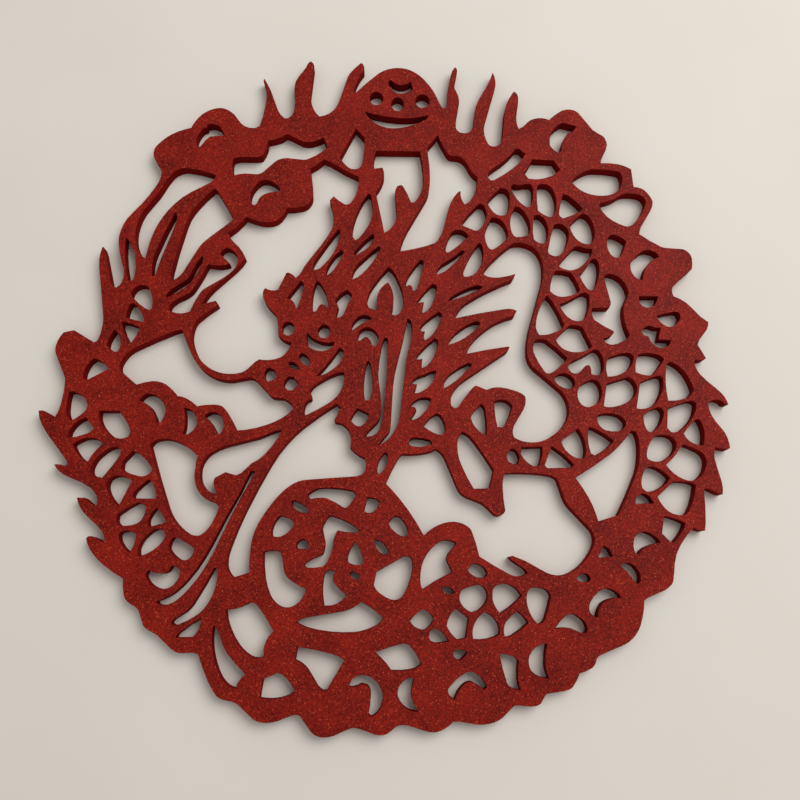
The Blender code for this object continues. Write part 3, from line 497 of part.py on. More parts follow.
# The paw that holds the pearl, and the scales along the foot of the ring.
PAW_CUTS = {
    "toe_1": "-26.6,-38.5! -25.5,-38.7 -23.7,-39.7 -22.3,-40.6 -21.7,-42! -23.5,-41.9 -25.3,-41.1"
             " -26.4,-40.1",
    "toe_2": "-30,-42.9! -28.6,-43 -27,-43.8 -25.7,-45.2! -26.8,-46.8 -28.3,-48.1 -30.2,-48.8"
             " -31.9,-48.4! -32,-46.7 -31.2,-44.6",
    "toe_3": "-25,-51 -24.3,-49.9 -23.2,-49.4 -22,-50 -21.6,-51.5! -21.7,-52.3! -23,-52.1"
             " -24.9,-51.8!",
    "toe_4": "-34.1,-52.9! -32.7,-52.6 -31.2,-52.6 -29.7,-52.8! -28.9,-54.4 -28.5,-57 -27.9,-59.2"
             " -26.6,-60.6 -24.7,-61.7 -22.2,-63! -22.6,-64.7 -23.8,-66.5 -25.6,-67.7 -27.6,-68.1"
             " -29.5,-67.5 -31.3,-65.9 -32.7,-63.3 -33.6,-60 -34,-56.5",
    "wrist_1": "-22.1,-36.9! -20.8,-35.8 -19,-35! -11.5,-35.3 -9.3,-35.7! -8.5,-36.8! -9.5,-38.5"
               " -10.5,-40 -11.7,-40.6 -13.5,-39.5 -15.8,-38.2 -17.8,-37.7 -20,-38.1 -21.5,-38.1!",
    "wrist_2": "-5.3,-37.6! -3.7,-37.7 -1.5,-38.9! -2.3,-40.3 -3.5,-41.6 -4.8,-42 -6.1,-41.4!"
               " -5.8,-39.5",
    "pearl_arc": "-16.1,-43! -15.2,-42.8! -14,-43.3 -12,-44.3 -10,-45 -8.3,-46 -7.2,-47! -8,-47.4"
                 " -10,-47.4 -12,-47 -13.6,-46.9! -14,-47.5! -14.6,-49.5 -14.9,-52 -15.6,-54"
                 " -16.5,-56 -17.8,-57 -19.5,-57.2 -22,-57.2! -22.7,-56.5! -22.2,-55.8! -20.5,-55"
                 " -19,-54.3 -17.6,-53.6! -17.2,-52.5 -17,-50 -17.3,-48 -17.8,-46.3 -17.2,-44.7",
    "pearl_drop": "-8.7,-50.2! -8.3,-50.2! -7.5,-51.7 -6.8,-53.3 -6.2,-55.3 -6.2,-56.2! -7.3,-56.5"
                  " -9.2,-56.3 -10.4,-55.7! -10.6,-54.8 -10.2,-53 -9.2,-51.2",
    "pearl_dot": "-9.9,-58.7! -8.8,-58.5 -7.2,-59.3 -7.2,-60.2! -8.2,-60.5 -9.6,-59.7",
    "pearl_leaf": "-16.9,-58.6 -15.9,-57.9 -14,-58.2! -14.6,-60 -14.2,-61.6 -12.7,-63.1"
                  " -10.6,-64.9! -11.7,-65.9 -13.4,-67 -15.2,-67.5 -17,-67.5! -17.4,-64.5"
                  " -17.2,-61",
    "palm_1": "-3,-49.5! -2,-49.5 -0.5,-50.8 0.6,-52 1.1,-53.1! 0.2,-53.4 -1.1,-53.3 -2.2,-52.3"
              " -3,-50.9 -3.3,-50!",
    "palm_2": "2.5,-42.8! 3.6,-42.9 5,-44.2 6.1,-46 6.4,-48! 5.2,-48.6 3.5,-47.9 2,-46.7"
              " 0.9,-45.1! 1.5,-43.8",
    "palm_3": "15.3,-50! 16.3,-49.6 18.3,-49.7 19.8,-50.2! 19.7,-50.8! 18.8,-51.9 17.6,-53.3"
              " 17.2,-54.8 17.6,-56.3 18.5,-58! 18.4,-58.6! 17,-59.3 14,-60.8 11.5,-62.4"
              " 10.4,-63.1! 9.9,-62! 9.8,-60 10,-57.5 10.7,-55.2 12,-53 13.7,-51.2",
    "palm_4": "15.7,-63.2 16.2,-62.5 17.3,-62.6 18.8,-63.2 19.2,-64! 18.7,-64.4 17.5,-64.3"
              " 16.2,-63.8",
    "palm_5": "-2.5,-58.4! 0,-57.1! 2.3,-55.8! 4.4,-54.4 5.8,-53.9 7,-54.3 7.6,-56 7.4,-58.5"
              " 6.8,-60.8 5.9,-63 4.8,-65 3.2,-66 1.3,-65.8 -0.8,-64.7 -2.4,-63.4 -3.2,-62!"
              " -2.9,-60!",
}

FOOT_CUTS = {
    "tail_1": "35.3,-24.5 36,-23.6 37.2,-23.6 38.3,-25 38.6,-26.6 38,-27.8! 36.7,-27.9 35.4,-27.1"
              " 35,-25.9",
    "tail_2": "39.3,-23! 45.3,-22.8! 45.3,-24.5 44.8,-26.5 44.2,-28 43,-28.5 41.8,-28.1 40.3,-26.7"
              " 39.1,-25",
    "tail_3": "48.1,-22.6! 51.2,-24.9! 54.3,-27.9! 53.6,-28.8! 46.6,-29! 45.9,-28.2! 46.9,-25.6!",
    "tail_4": "61.7,-51.1! 62.8,-51.5 63.7,-52.8 64.2,-54! 60.1,-54.4! 60.8,-52.8",
    "tail_5": "53.6,-60! 54.5,-59.2 56,-58.8 57.3,-59.5 57.5,-60.7 56.8,-61.1 55,-61 53.9,-60.6",
    "foot_5": "23.1,-57.9! 24.4,-56! 26,-56.2 27.6,-57.3 28.6,-58.6 28.1,-59.7 26.5,-60 24.6,-59.4",
    "foot_6": "20.7,-64.7 21.5,-63.2 23.5,-62.6 25.8,-61.9 27.4,-62.4 28.4,-64 28.2,-66.2"
              " 26.9,-67.9 25.4,-69 23.8,-69.3 22,-68 20.8,-66.5",
    "foot_7": "29.9,-64.5 30.3,-62.7 31.3,-62 35,-62! 36.6,-63 38,-64.8! 36.8,-66.2 35,-67.4"
              " 33.3,-68.9 31.9,-69.7! 30.7,-68 29.9,-66",
    "foot_8": "39.4,-66.3 39.7,-64 40.5,-62.9 43,-63! 45.4,-63.6 46.1,-64.6 45.5,-67 44.7,-69.8"
              " 43.8,-72 42.6,-72.5 41.2,-71.3 40,-69",
    "foot_9": "65.9,-65.4! 64.9,-64.1 63.3,-63.2 61.5,-62.9 59.8,-63.8 58.2,-65.3 57,-67.2 56.9,-69"
              " 57.7,-70.2 59,-70.8! 59.4,-69 60.2,-67.3 61.6,-66.2 63.5,-65.6",
    "foot_10": "46.9,-73.9! 48.2,-72.2 49.8,-70.6 51.3,-69.8 53.2,-70.2 55,-71.6 56,-73.4"
               " 55.8,-74.8! 54.5,-75! 52.6,-74 50.3,-73.5 48.4,-73.7",
    "foot_11": "44.6,-77.8! 43,-77.9 41.4,-78.9 40,-80.3 39.4,-82.5 39.7,-84.3 41,-85.7 42.8,-86.6"
               " 44.8,-86.9! 44.1,-84.8 43.9,-82.8 44.2,-80",
    "foot_12": "31.4,-80.4! 33.5,-80.7 35.5,-81.3 36.6,-82.2! 36.4,-85 36.3,-87.5 36.9,-89.9!"
               " 35.4,-89.7 33.3,-88.1! 32.7,-85.5! 31.9,-82.4!",
    "foot_13": "36.7,-69! 38.2,-70.3 39.7,-72.2! 38.3,-73.4 36.3,-74.7 34.2,-75.9 33,-75.8!"
               " 32.8,-74 33.5,-71.9 35,-70.4",
    "foot_14": "27.6,-69.2! 29.3,-70.2 30.8,-71.7 31.6,-73.6 31.5,-75.3! 29.5,-76.2 27,-76.6"
               " 24.3,-76.6! 24.2,-74 24.9,-72 26.2,-70.4",
    "foot_15": "19.6,-68.3! 21.4,-69.5 23.1,-71! 22.8,-73.8 22.2,-76.3! 20,-76.7! 18.2,-75 17,-73!"
               " 17.4,-71.2 18.4,-69.6",
    "foot_16": "10.3,-68.5! 11.8,-69.2 13,-70.4 13.4,-71.4! 12.2,-73 10.7,-74.1 9.2,-73.8"
               " 7.6,-72.7 6.8,-71.6! 8.4,-69.9",
    "foot_17": "13.5,-73.6! 15,-74.2 16.5,-75.6 17.5,-77.1! 15,-77.4 13,-77.3 12.1,-76 12.4,-74.6",
    "foot_18": "18.5,-80 19.2,-79.3 20.8,-79.4 22.6,-79.9! 21.8,-81 20.3,-82.2! 18.9,-81.3",
    "foot_19": "18.9,-92.4! 17.7,-91.4 17.1,-90 18,-88.5 19.8,-87 21.5,-85.7 23,-85.1 25,-85.8"
               " 26.7,-87.2 27.7,-89.2! 26.9,-89.8! 25.4,-88.7 23.2,-87.7 21.3,-88.5 19.9,-90.1",
    "foot_20": "7.8,-86.9! 7.3,-89 7.1,-91 7.6,-93.1 9,-95.3! 7.5,-95.3 5.6,-94.4 4,-92.6"
               " 3.4,-90.5 3.9,-88.8 5.2,-87.4 6.5,-86.7",
    "foot_21": "-9.8,-88.9! -9.3,-87.4 -8,-86.2 -6,-85.9 -4,-86.4 -2.2,-87.8 -1,-89.8 -0.6,-92"
               " -1.1,-94.1 -2.3,-95.9 -3.7,-96.7! -4.4,-96! -4,-93.8 -3.8,-91.2 -4.2,-89.2"
               " -5.5,-88.2 -7.2,-88.3 -8.6,-89",
    "foot_22": "-2.9,-80! 2.5,-78.3! 4.9,-77.7! 6.6,-78.2 7.9,-79.8 9.7,-82.6! 9.6,-83.4! 8,-84.3"
               " 5,-84.6! 1.7,-84.8! 0.3,-83.2 -1.2,-81.4",
    "foot_23": "-24,-78.5! -21,-79.1 -17.5,-79.7 -14.3,-80.5 -11.1,-82! -12.5,-84.3! -14.3,-87.3!"
               " -15.8,-89.8! -16.8,-90! -18.2,-88.9 -19.5,-86.8 -21,-84.5 -22.7,-82.9 -24.5,-82!",
    "foot_24": "-24.5,-72! -23.5,-71.3 -21.5,-70.7 -18,-70.1 -14.5,-69.6 -11.5,-69.1 -9,-68.2"
               " -7.5,-67.3 -6.7,-66.6! -5.5,-67.2 -3.5,-68.5 -1.8,-69.8 -0.6,-70.9! -1.3,-72"
               " -3,-73.1 -5.5,-74.1 -8.5,-74.7 -11.5,-74.8 -15,-74.6 -18.5,-74.1 -22,-73.2",
}

DRAWN_CUTS = (CROWN_CUTS, CLOUD_CUTS, HAIR_CUTS, OPEN_FIELDS, RING_LEFT_CUTS, HEAD_CUTS,
              SCALE_CUTS, RING_RIGHT_CUTS, PAW_CUTS, FOOT_CUTS)


def clear_scene():
    """Remove what the file already holds."""
    for thing in list(bpy.data.objects):
        bpy.data.objects.remove(thing, do_unlink=True)


def read_line(drawn):
    """Read a drawn line: its points, and for each whether it is a corner."""
    marks = drawn.split()
    corners = [mark.endswith("!") for mark in marks]
    points = [Vector([float(number) for number in mark.rstrip("!").split(",")]) for mark in marks]
    return points, corners


def circle_direction(before, here, after):
    """The direction at here of the circle through three neighbouring points."""
    back = here - before
    forth = after - here
    tangent = back / back.length_squared + forth / forth.length_squared
    return tangent.normalized()


def mirrored(direction, chord):
    """The direction at one end of an arc, from the direction at its other end."""
    return 2 * direction.dot(chord) * chord - direction


def stretch_points(start, end, leaving, arriving):
    """Points from start up to, but not with, end on a cubic stretch with these end directions."""
    chord = end - start
    length = chord.length
    chord = chord / length
    turn_out = chord.angle(leaving)
    turn_in = chord.angle(arriving)
    handle_out = start + leaving * length * (2 / 3) / (1 + math.cos(turn_out))
    handle_in = end - arriving * length * (2 / 3) / (1 + math.cos(turn_in))
    steps = max(1, math.ceil((turn_out + turn_in) / STEP_TURN))
    points = []
    for step in range(steps):
        t = step / steps
        s = 1 - t
        points.append(start * s ** 3 + handle_out * 3 * s * s * t
                      + handle_in * 3 * s * t * t + end * t ** 3)
    return points


def distance_from_edge(point, start, end):
    """How far a point lies from the straight edge between two others."""
    edge = end - start
    share = (point - start).dot(edge) / edge.length_squared
    return (point - start - edge * max(0.0, min(1.0, share))).length


def thinned_stretch(stretch):
    """An open line, without its last point, kept to the points that the curve needs."""
    start, end = stretch[0], stretch[-1]
    between = range(1, len(stretch) - 1)
    if not between:
        return [start]
    far = max(between, key=lambda i: distance_from_edge(stretch[i], start, end))
    if distance_from_edge(stretch[far], start, end) * DRAWN_MILLIMETRE < CURVE_TOLERANCE:
        return [start]
    return thinned_stretch(stretch[:far + 1]) + thinned_stretch(stretch[far:])


def thinned_line(line):
    """A closed line kept to the points that the curve needs."""
    far = max(range(len(line)), key=lambda i: (line[i] - line[0]).length)
    return thinned_stretch(line[:far + 1]) + thinned_stretch(line[far:] + line[:1])


def smooth_line(drawn):
    """The closed line through the drawn points, curved except at its corners."""
    knots, corners = read_line(drawn)
    count = len(knots)
    directions = [circle_direction(knots[i - 1], knots[i], knots[(i + 1) % count])
                  for i in range(count)]
    line = []
    for i in range(count):
        j = (i + 1) % count
        chord = (knots[j] - knots[i]).normalized()
        leaving = arriving = chord
        if not corners[i]:
            leaving = directions[i]
            arriving = mirrored(leaving, chord)
        if not corners[j]:
            arriving = directions[j]
            if corners[i]:
                leaving = mirrored(arriving, chord)
        line += stretch_points(knots[i], knots[j], leaving, arriving)
    return thinned_line(line)


def ellipse_line(centre_x, centre_y, half_width, half_height):
    """The closed line of a round cut."""
    return [Vector((centre_x + half_width * math.cos(2 * math.pi * step / ROUND_CUT_SIDES),
                    centre_y + half_height * math.sin(2 * math.pi * step / ROUND_CUT_SIDES)))
            for step in range(ROUND_CUT_SIDES)]


def middle_of(line):
    """The middle of the box around a line."""
    low = Vector((min(point.x for point in line), min(point.y for point in line)))
    high = Vector((max(point.x for point in line), max(point.y for point in line)))
    return (low + high) / 2


def cut_lines():
    """Every cut of the drawing as a closed line."""
    lines = [ellipse_line(*size) for size in ROUND_CUTS.values()]
    for group in DRAWN_CUTS:
        lines += [smooth_line(drawn) for drawn in group.values()]
    return lines


def red_plastic():
    """Matt red plastic, the same all through."""
    material = bpy.data.materials.new("red_matt_plastic")
    material.use_nodes = True
    material.diffuse_color = RED_PLASTIC
    shader = material.node_tree.nodes["Principled BSDF"]
    shader.inputs["Base Color"].default_value = RED_PLASTIC
    shader.inputs["Roughness"].default_value = 0.55
    shader.inputs["Metallic"].default_value = 0.0
    return material


def template_curve(outline, cuts):
    """The template as a flat filled curve, centred, pulled up to the plate's thickness."""
    middle = middle_of(outline)
    curve = bpy.data.curves.new("template", "CURVE")
    curve.dimensions = "2D"
    curve.fill_mode = "BOTH"
    curve.extrude = PLATE_THICKNESS / 2
    for line in [outline] + cuts:
        spline = curve.splines.new("POLY")
        spline.points.add(len(line) - 1)
        for knot, point in zip(spline.points, line):
            place = (point - middle) * DRAWN_MILLIMETRE
            knot.co = (place.x, place.y, 0, 1)
        spline.use_cyclic_u = True
    template = bpy.data.objects.new("template", curve)
    template.location.z = PLATE_THICKNESS / 2
    return template


def plate_from(template, collection):
    """Turn the template into one closed mesh with its underside on the ground."""
    bpy.context.view_layer.update()
    depsgraph = bpy.context.evaluated_depsgraph_get()
    mesh = bpy.data.meshes.new_from_object(template.evaluated_get(depsgraph))
    mesh.name = NAME
    body = bmesh.new()
    body.from_mesh(mesh)
    bmesh.ops.remove_doubles(body, verts=body.verts, dist=WELD_DISTANCE)
    bmesh.ops.recalc_face_normals(body, faces=body.faces)
    body.to_mesh(mesh)
    body.free()
    mesh.transform(template.matrix_world)
    plate = bpy.data.objects.new(NAME, mesh)
    collection.objects.link(plate)
    bpy.data.objects.remove(template, do_unlink=True)
    return plate


def main():
    """Build the cutout."""
    clear_scene()
    collection = bpy.data.collections.new("window_cutout")
    bpy.context.scene.collection.children.link(collection)
    template = template_curve(smooth_line(SILHOUETTE), cut_lines())
    collection.objects.link(template)
    plate = plate_from(template, collection)
    plate.data.materials.clear()
    plate.data.materials.append(red_plastic())


main()
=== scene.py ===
# %% [markdown]
# # A dragon window cutout, printed as one flat plate
# The real object is the kind of round, lacy picture that is cut from red paper for a festival
# window. This one is stiff: it was printed in red plastic, a little under 4 mm thick.
# The solid plate comes in as the fixed frame. Its box is kept for the plate's thickness and the
# floor's height.

import math

import bmesh
import bpy
from mathutils import Matrix, Vector
from mathutils.geometry import interpolate_bezier


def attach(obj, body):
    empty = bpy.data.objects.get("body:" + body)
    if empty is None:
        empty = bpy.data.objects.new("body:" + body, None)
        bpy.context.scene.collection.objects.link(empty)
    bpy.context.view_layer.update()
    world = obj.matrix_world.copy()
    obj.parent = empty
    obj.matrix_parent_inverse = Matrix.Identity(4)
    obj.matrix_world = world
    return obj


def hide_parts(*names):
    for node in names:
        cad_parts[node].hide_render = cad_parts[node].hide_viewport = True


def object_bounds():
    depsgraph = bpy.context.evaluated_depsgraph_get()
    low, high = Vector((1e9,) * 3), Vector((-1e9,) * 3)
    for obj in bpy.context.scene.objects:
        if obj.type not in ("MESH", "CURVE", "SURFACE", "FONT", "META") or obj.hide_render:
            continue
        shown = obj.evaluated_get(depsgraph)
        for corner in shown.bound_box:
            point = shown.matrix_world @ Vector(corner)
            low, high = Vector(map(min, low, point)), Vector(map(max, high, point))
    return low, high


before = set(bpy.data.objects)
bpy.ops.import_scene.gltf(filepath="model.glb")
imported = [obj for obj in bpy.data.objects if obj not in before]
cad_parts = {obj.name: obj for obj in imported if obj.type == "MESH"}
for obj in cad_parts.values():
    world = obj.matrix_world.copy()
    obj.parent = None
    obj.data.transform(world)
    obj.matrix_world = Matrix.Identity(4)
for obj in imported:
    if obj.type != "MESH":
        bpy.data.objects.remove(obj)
solid_low, solid_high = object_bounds()
MILLIMETRE = 0.001
plate_thickness = solid_high.z - solid_low.z
print("solid plate, mm:", [round(side / MILLIMETRE, 2) for side in solid_high - solid_low])

# %% [markdown]
# ## The cut lines
# Everything about this object is in its cut lines: one edge all round and 185 windows in it.
# They could be drawn a second time, but then the looks and the solid could differ. So they are
# read from a merged copy of the solid: wherever a front face meets a wall there is a cut line.
# Each edge is taken in the direction of its front face, so the plastic is always on its left.

# %% Follow the edges of the front face
WELD_DISTANCE = 0.002 * MILLIMETRE
UPWARD = 0.5         # a front face's normal has 1 upwards, a wall's has 0 and a back's has -1
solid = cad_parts["dragon_cutout"]
merged = bmesh.new()
merged.from_mesh(solid.data)
bmesh.ops.remove_doubles(merged, verts=merged.verts, dist=WELD_DISTANCE)
merged.normal_update()

next_corner = {}
for face in merged.faces:
    if face.normal.z > UPWARD:
        for corner in face.loops:
            if any(neighbour.normal.z < UPWARD for neighbour in corner.edge.link_faces):
                next_corner[corner.vert] = corner.link_loop_next.vert

cut_lines = []
while next_corner:
    first_corner, here = next_corner.popitem()
    line = [Vector((first_corner.co.x, first_corner.co.y, 0))]
    while here is not first_corner:
        line.append(Vector((here.co.x, here.co.y, 0)))
        here = next_corner.pop(here)
    cut_lines.append(line)
merged.free()
print("cut lines:", len(cut_lines), "with", sum(map(len, cut_lines)), "corners")

# %% [markdown]
# ## Which way a line runs at a corner
# The solid keeps few corners, to stay light for physics, and up close its curves look like
# straight cuts. A subdivision would round the true corners too. Here a turn of more than 35
# degrees stays a sharp corner, and elsewhere the line runs through each point along the circle
# that passes through its two neighbours. A long stretch was left out of the solid's corners
# because it is nearly straight, so it may bulge only a little: the short stretch next to it
# takes the rest of the turn.

# %% Find the line's direction at a corner
SHARP_TURN = math.radians(35)
BULGE = 0.15 * MILLIMETRE        # how far a curve may lie off the solid's straight stretch


def line_direction(before, point, after):
    """Which way the line runs at the middle point. The longer stretch takes more of the turn,
    as on a circle, but no more than makes it bulge by its limit: a stretch that turns by an
    angle at both ends bulges by a quarter of that angle times its length."""
    arriving, leaving = point - before, after - point
    turn = math.atan2(arriving.cross(leaving).z, arriving.dot(leaving))
    share = abs(turn) * arriving.length / (arriving.length + leaving.length)
    share = min(share, 4 * BULGE / arriving.length)
    share = max(share, abs(turn) - 4 * BULGE / leaving.length)
    return Matrix.Rotation(math.copysign(share, turn), 3, "Z") @ arriving.normalized()


def corner_directions(line):
    """The direction at each corner of a closed line, and None where the corner is sharp."""
    directions = []
    for index, point in enumerate(line):
        before, after = line[index - 1], line[(index + 1) % len(line)]
        is_sharp = (point - before).angle(after - point, 0) > SHARP_TURN
        directions.append(None if is_sharp else line_direction(before, point, after))
    return directions


line_directions = [corner_directions(line) for line in cut_lines]
print("sharp corners:", sum(directions.count(None) for directions in line_directions))

# %% [markdown]
# ## Rounding the lines again
# Each stretch between two corners is drawn as a curve with the directions of its two ends. An
# end at a sharp corner has no direction of its own and mirrors the other one, which makes an
# arc. A stretch gets more steps the more it bends, so straight ones cost nothing.

# %% Draw smooth stretches between the corners
CURVE_FIT = 0.055 * MILLIMETRE   # how far a stretch of straight steps may lie off its curve


def mirrored(direction, chord):
    """The direction at the other end of an arc that has this direction at one end."""
    along = chord.normalized()
    return 2 * direction.dot(along) * along - direction


def smooth_stretch(start, end, leaving, arriving):
    """The points of one stretch, without its end. An arc lies an eighth of its length times
    its bend off a straight line, and that much less with the square of the steps."""
    if leaving is None and arriving is None:
        return [start]
    chord = end - start
    leaving = leaving or mirrored(arriving, chord)
    arriving = arriving or mirrored(leaving, chord)
    bend = leaving.angle(chord, 0) + arriving.angle(chord, 0)
    steps = max(1, math.ceil(math.sqrt(chord.length * bend / 8 / CURVE_FIT)))
    reach = chord.length * 2 / (1 + math.cos(bend / 2)) / 3   # gives a true arc on a circle
    return interpolate_bezier(start, start + leaving * reach, end - arriving * reach, end,
                              steps + 1)[:-1]


smooth_lines = []
for line, directions in zip(cut_lines, line_directions):
    smooth = []
    for index, start in enumerate(line):
        after = (index + 1) % len(line)
        smooth += smooth_stretch(start, line[after], directions[index], directions[after])
    smooth_lines.append(smooth)
print("points on the smooth lines:", sum(map(len, smooth_lines)))

# %% [markdown]
# ## A mesh of edges that knows which way is out
# The node tree that builds the plate needs the lines as bare edges, and at each point the
# direction out of the plastic, to move the wall in and out by. A bisector that is longer at
# sharp corners keeps every offset parallel to the line. It is stored as a point attribute.
# A rounded line may pass the solid's own limits, so each point is kept inside its box.

# %% Lay the lines out as edges
def outward_at(line, index):
    """The direction out of the plastic, one unit to the right of both edges at this point. At
    a tip sharper than 60 degrees it is kept shorter than that, or it would shoot far out."""
    arriving = (line[index] - line[index - 1]).normalized()
    leaving = (line[(index + 1) % len(line)] - line[index]).normalized()
    both = Vector((arriving.y + leaving.y, -arriving.x - leaving.x, 0))
    return both * (2 / max(both.length_squared, 1))


points, edges, outward = [], [], []
for line in smooth_lines:
    first = len(points)
    for index, point in enumerate(line):
        outward.extend(outward_at(line, index))
        edges.append((first + index, first + (index + 1) % len(line)))
        points.append([min(max(value, low), high) for value, low, high
                       in zip(point, (*solid_low.xy, 0), (*solid_high.xy, 0))])

lines_mesh = bpy.data.meshes.new("cut_lines")
lines_mesh.from_pydata(points, edges, [])
lines_mesh.attributes.new("outward", "FLOAT_VECTOR", "POINT").data.foreach_set("vector", outward)
plate_builder = bpy.data.objects.new("plate_builder", lines_mesh)
bpy.context.scene.collection.objects.link(plate_builder)
print("edges of the cut lines:", len(edges))

# %% [markdown]
# ## Colours and nodes
# Colours are written as the hex values that a paint program shows. A shader reads linear light,
# so one function turns them. Another adds a node with its settings and its links: an input that
# is given a socket is linked to it, and any other value is set on the input itself.

# %% Two helpers for every node tree
def hex_colour(text):
    """An sRGB hex value such as #7c1a15 as the linear colour that a shader reads."""
    parts = [int(text[place:place + 2], 16) / 255 for place in (1, 3, 5)]
    return [part / 12.92 if part <= 0.04045 else ((part + 0.055) / 1.055) ** 2.4
            for part in parts] + [1.0]


def add_node(tree, kind, inputs=None, **settings):
    """Adds a node to the tree. Keys of inputs are socket names, or places where names repeat."""
    node = tree.nodes.new(kind)
    for name, value in settings.items():
        setattr(node, name, value)
    for key, value in (inputs or {}).items():
        if isinstance(value, bpy.types.NodeSocket):
            tree.links.new(value, node.inputs[key])
        else:
            node.inputs[key].default_value = value
    return node


print("#9b2013 in linear light:", [round(part, 3) for part in hex_colour("#9b2013")])

# %% [markdown]
# ## What the finishes have in common
# Plastic and card are both dull here, and both bend light about alike, so every finish starts
# from one shader. The shine is its mirror part: 0.5 would be a clean smooth plastic, and a
# surface full of grain or grooves gives back far less. Patterns follow the object's own place
# in metres, so that a size in millimetres means the same on all of them.

# %% Start a finish
LIGHT_BENDING = 1.46         # PLA plastic; the fibres in card are close to it
DULL_SHINE = 0.1


def new_finish(name, roughness, shine=DULL_SHINE):
    """A new material: returns it, its tree, its shader and the object's coordinates."""
    material = bpy.data.materials.new(name)
    material.use_nodes = True
    tree = material.node_tree
    shader = tree.nodes["Principled BSDF"]
    for socket, value in (("Roughness", roughness), ("IOR", LIGHT_BENDING),
                          ("Specular IOR Level", shine)):
        shader.inputs[socket].default_value = value
    print("finish:", name, "with roughness", roughness)
    return material, tree, shader, add_node(tree, "ShaderNodeTexCoord").outputs["Object"]


# %% [markdown]
# ## The front: red PLA printed against a grainy steel sheet
# The front face is even but glitters with specks. A printer's build sheet is often powder
# coated, and the first layer takes its grain. To the eye it is a matte dark red, with grains
# that catch the light. An image of it would repeat, so a fine noise gives the dark and light
# grain, and a slow one the patches.

# %% The grain of the front finish
GRAIN = 0.40 * MILLIMETRE     # real grains are nearer 0.2 mm and would be lost in the render
PATCH = 9.0 * MILLIMETRE      # slow change of colour over the face
PATCH_SHARE = 0.35            # how much a patch counts beside a grain
DARKEST, LIGHTEST = 0.44, 0.92   # the sum of both noises where the colour stops changing
front_finish, tree, shader, place = new_finish("pla_printed_on_grainy_sheet", 0.52)

grain = add_node(tree, "ShaderNodeTexNoise",
                 {"Vector": place, "Scale": 1 / GRAIN, "Detail": 1.5, "Roughness": 0.6})
patches = add_node(tree, "ShaderNodeTexNoise",
                   {"Vector": place, "Scale": 1 / PATCH, "Detail": 2.0})
uneven = add_node(tree, "ShaderNodeMath",
                  {0: patches.outputs[0], 1: PATCH_SHARE, 2: grain.outputs[0]},
                  operation="MULTIPLY_ADD")
share = add_node(tree, "ShaderNodeMapRange",
                 {"Value": uneven.outputs[0], "From Min": DARKEST, "From Max": LIGHTEST})
red = add_node(tree, "ShaderNodeMix",
               {0: share.outputs[0], 6: hex_colour("#480703"), 7: hex_colour("#9b2013")},
               data_type="RGBA")
print("front grain", round(GRAIN / MILLIMETRE, 2), "mm, patches", PATCH / MILLIMETRE, "mm")

# %% [markdown]
# ## The specks that flash, as painted glints
# Here and there a grain lies just so and flashes in the light. The flashes are painted: a few
# spots get a light orange colour, as painted highlights. More noise would brighten the whole face.
# A pattern of cells has one middle in each cell and one chance for it, so only a few middles are
# picked as bright spots. Grain and spots together also bend the light, as bump.

# %% The painted glints of the front finish
FLASH = 0.50 * MILLIMETRE     # width of a cell, about as coarse as the grain is drawn
NEVER_FLASH = 0.70            # cells with a chance up to this stay dark
SPOT_EDGE, SPOT_CORE = 0.45, 0.15   # in cells from its middle, a spot fades between these
GRAIN_DEPTH = 0.08 * MILLIMETRE
SPOT_HEIGHT = 0.5             # how high a spot stands, beside the grain

pits = add_node(tree, "ShaderNodeTexVoronoi", {"Vector": place, "Scale": 1 / FLASH})
chance = add_node(tree, "ShaderNodeSeparateColor", {0: pits.outputs["Color"]})
picked = add_node(tree, "ShaderNodeMapRange",
                  {"Value": chance.outputs[0], "From Min": NEVER_FLASH, "From Max": 1.0})
spot = add_node(tree, "ShaderNodeMapRange",
                {"Value": pits.outputs["Distance"], "From Min": SPOT_EDGE,
                 "From Max": SPOT_CORE})
speck_and_painted_glint = add_node(tree, "ShaderNodeMath", {0: picked.outputs[0], 1: spot.outputs[0]},
                 operation="MULTIPLY")
# Painted highlight: the picked spots are mixed towards a light orange, as the glint of a grain
# that catches the lamp.
face_colour = add_node(tree, "ShaderNodeMix",
                       {0: speck_and_painted_glint.outputs[0], 6: red.outputs[2], 7: hex_colour("#cc5534")},
                       data_type="RGBA")
height = add_node(tree, "ShaderNodeMath",
                  {0: speck_and_painted_glint.outputs[0], 1: SPOT_HEIGHT, 2: grain.outputs[0]},
                  operation="MULTIPLY_ADD")
grain_bump = add_node(tree, "ShaderNodeBump",
                      {"Height": height.outputs[0], "Strength": 0.7, "Distance": GRAIN_DEPTH})
tree.links.new(face_colour.outputs[2], shader.inputs["Base Color"])
tree.links.new(grain_bump.outputs[0], shader.inputs["Normal"])
print("flashing cells", round(FLASH / MILLIMETRE, 2), "mm wide")

# %% [markdown]
# ## The walls: red PLA in layers
# A printed wall is a stack of plastic threads, 0.2 mm high, which reads as fine level streaks.
# The coarse ridges are in the mesh. The streaks are a noise that is stretched along the plate
# and packed tight in height. It needs no unwrapping, and suits walls that run any way. From
# above a wall is seen at a flat angle, where a smooth plastic would mirror the pale floor and
# look grey. The grooves of a print swallow that light, so the shine is almost off.

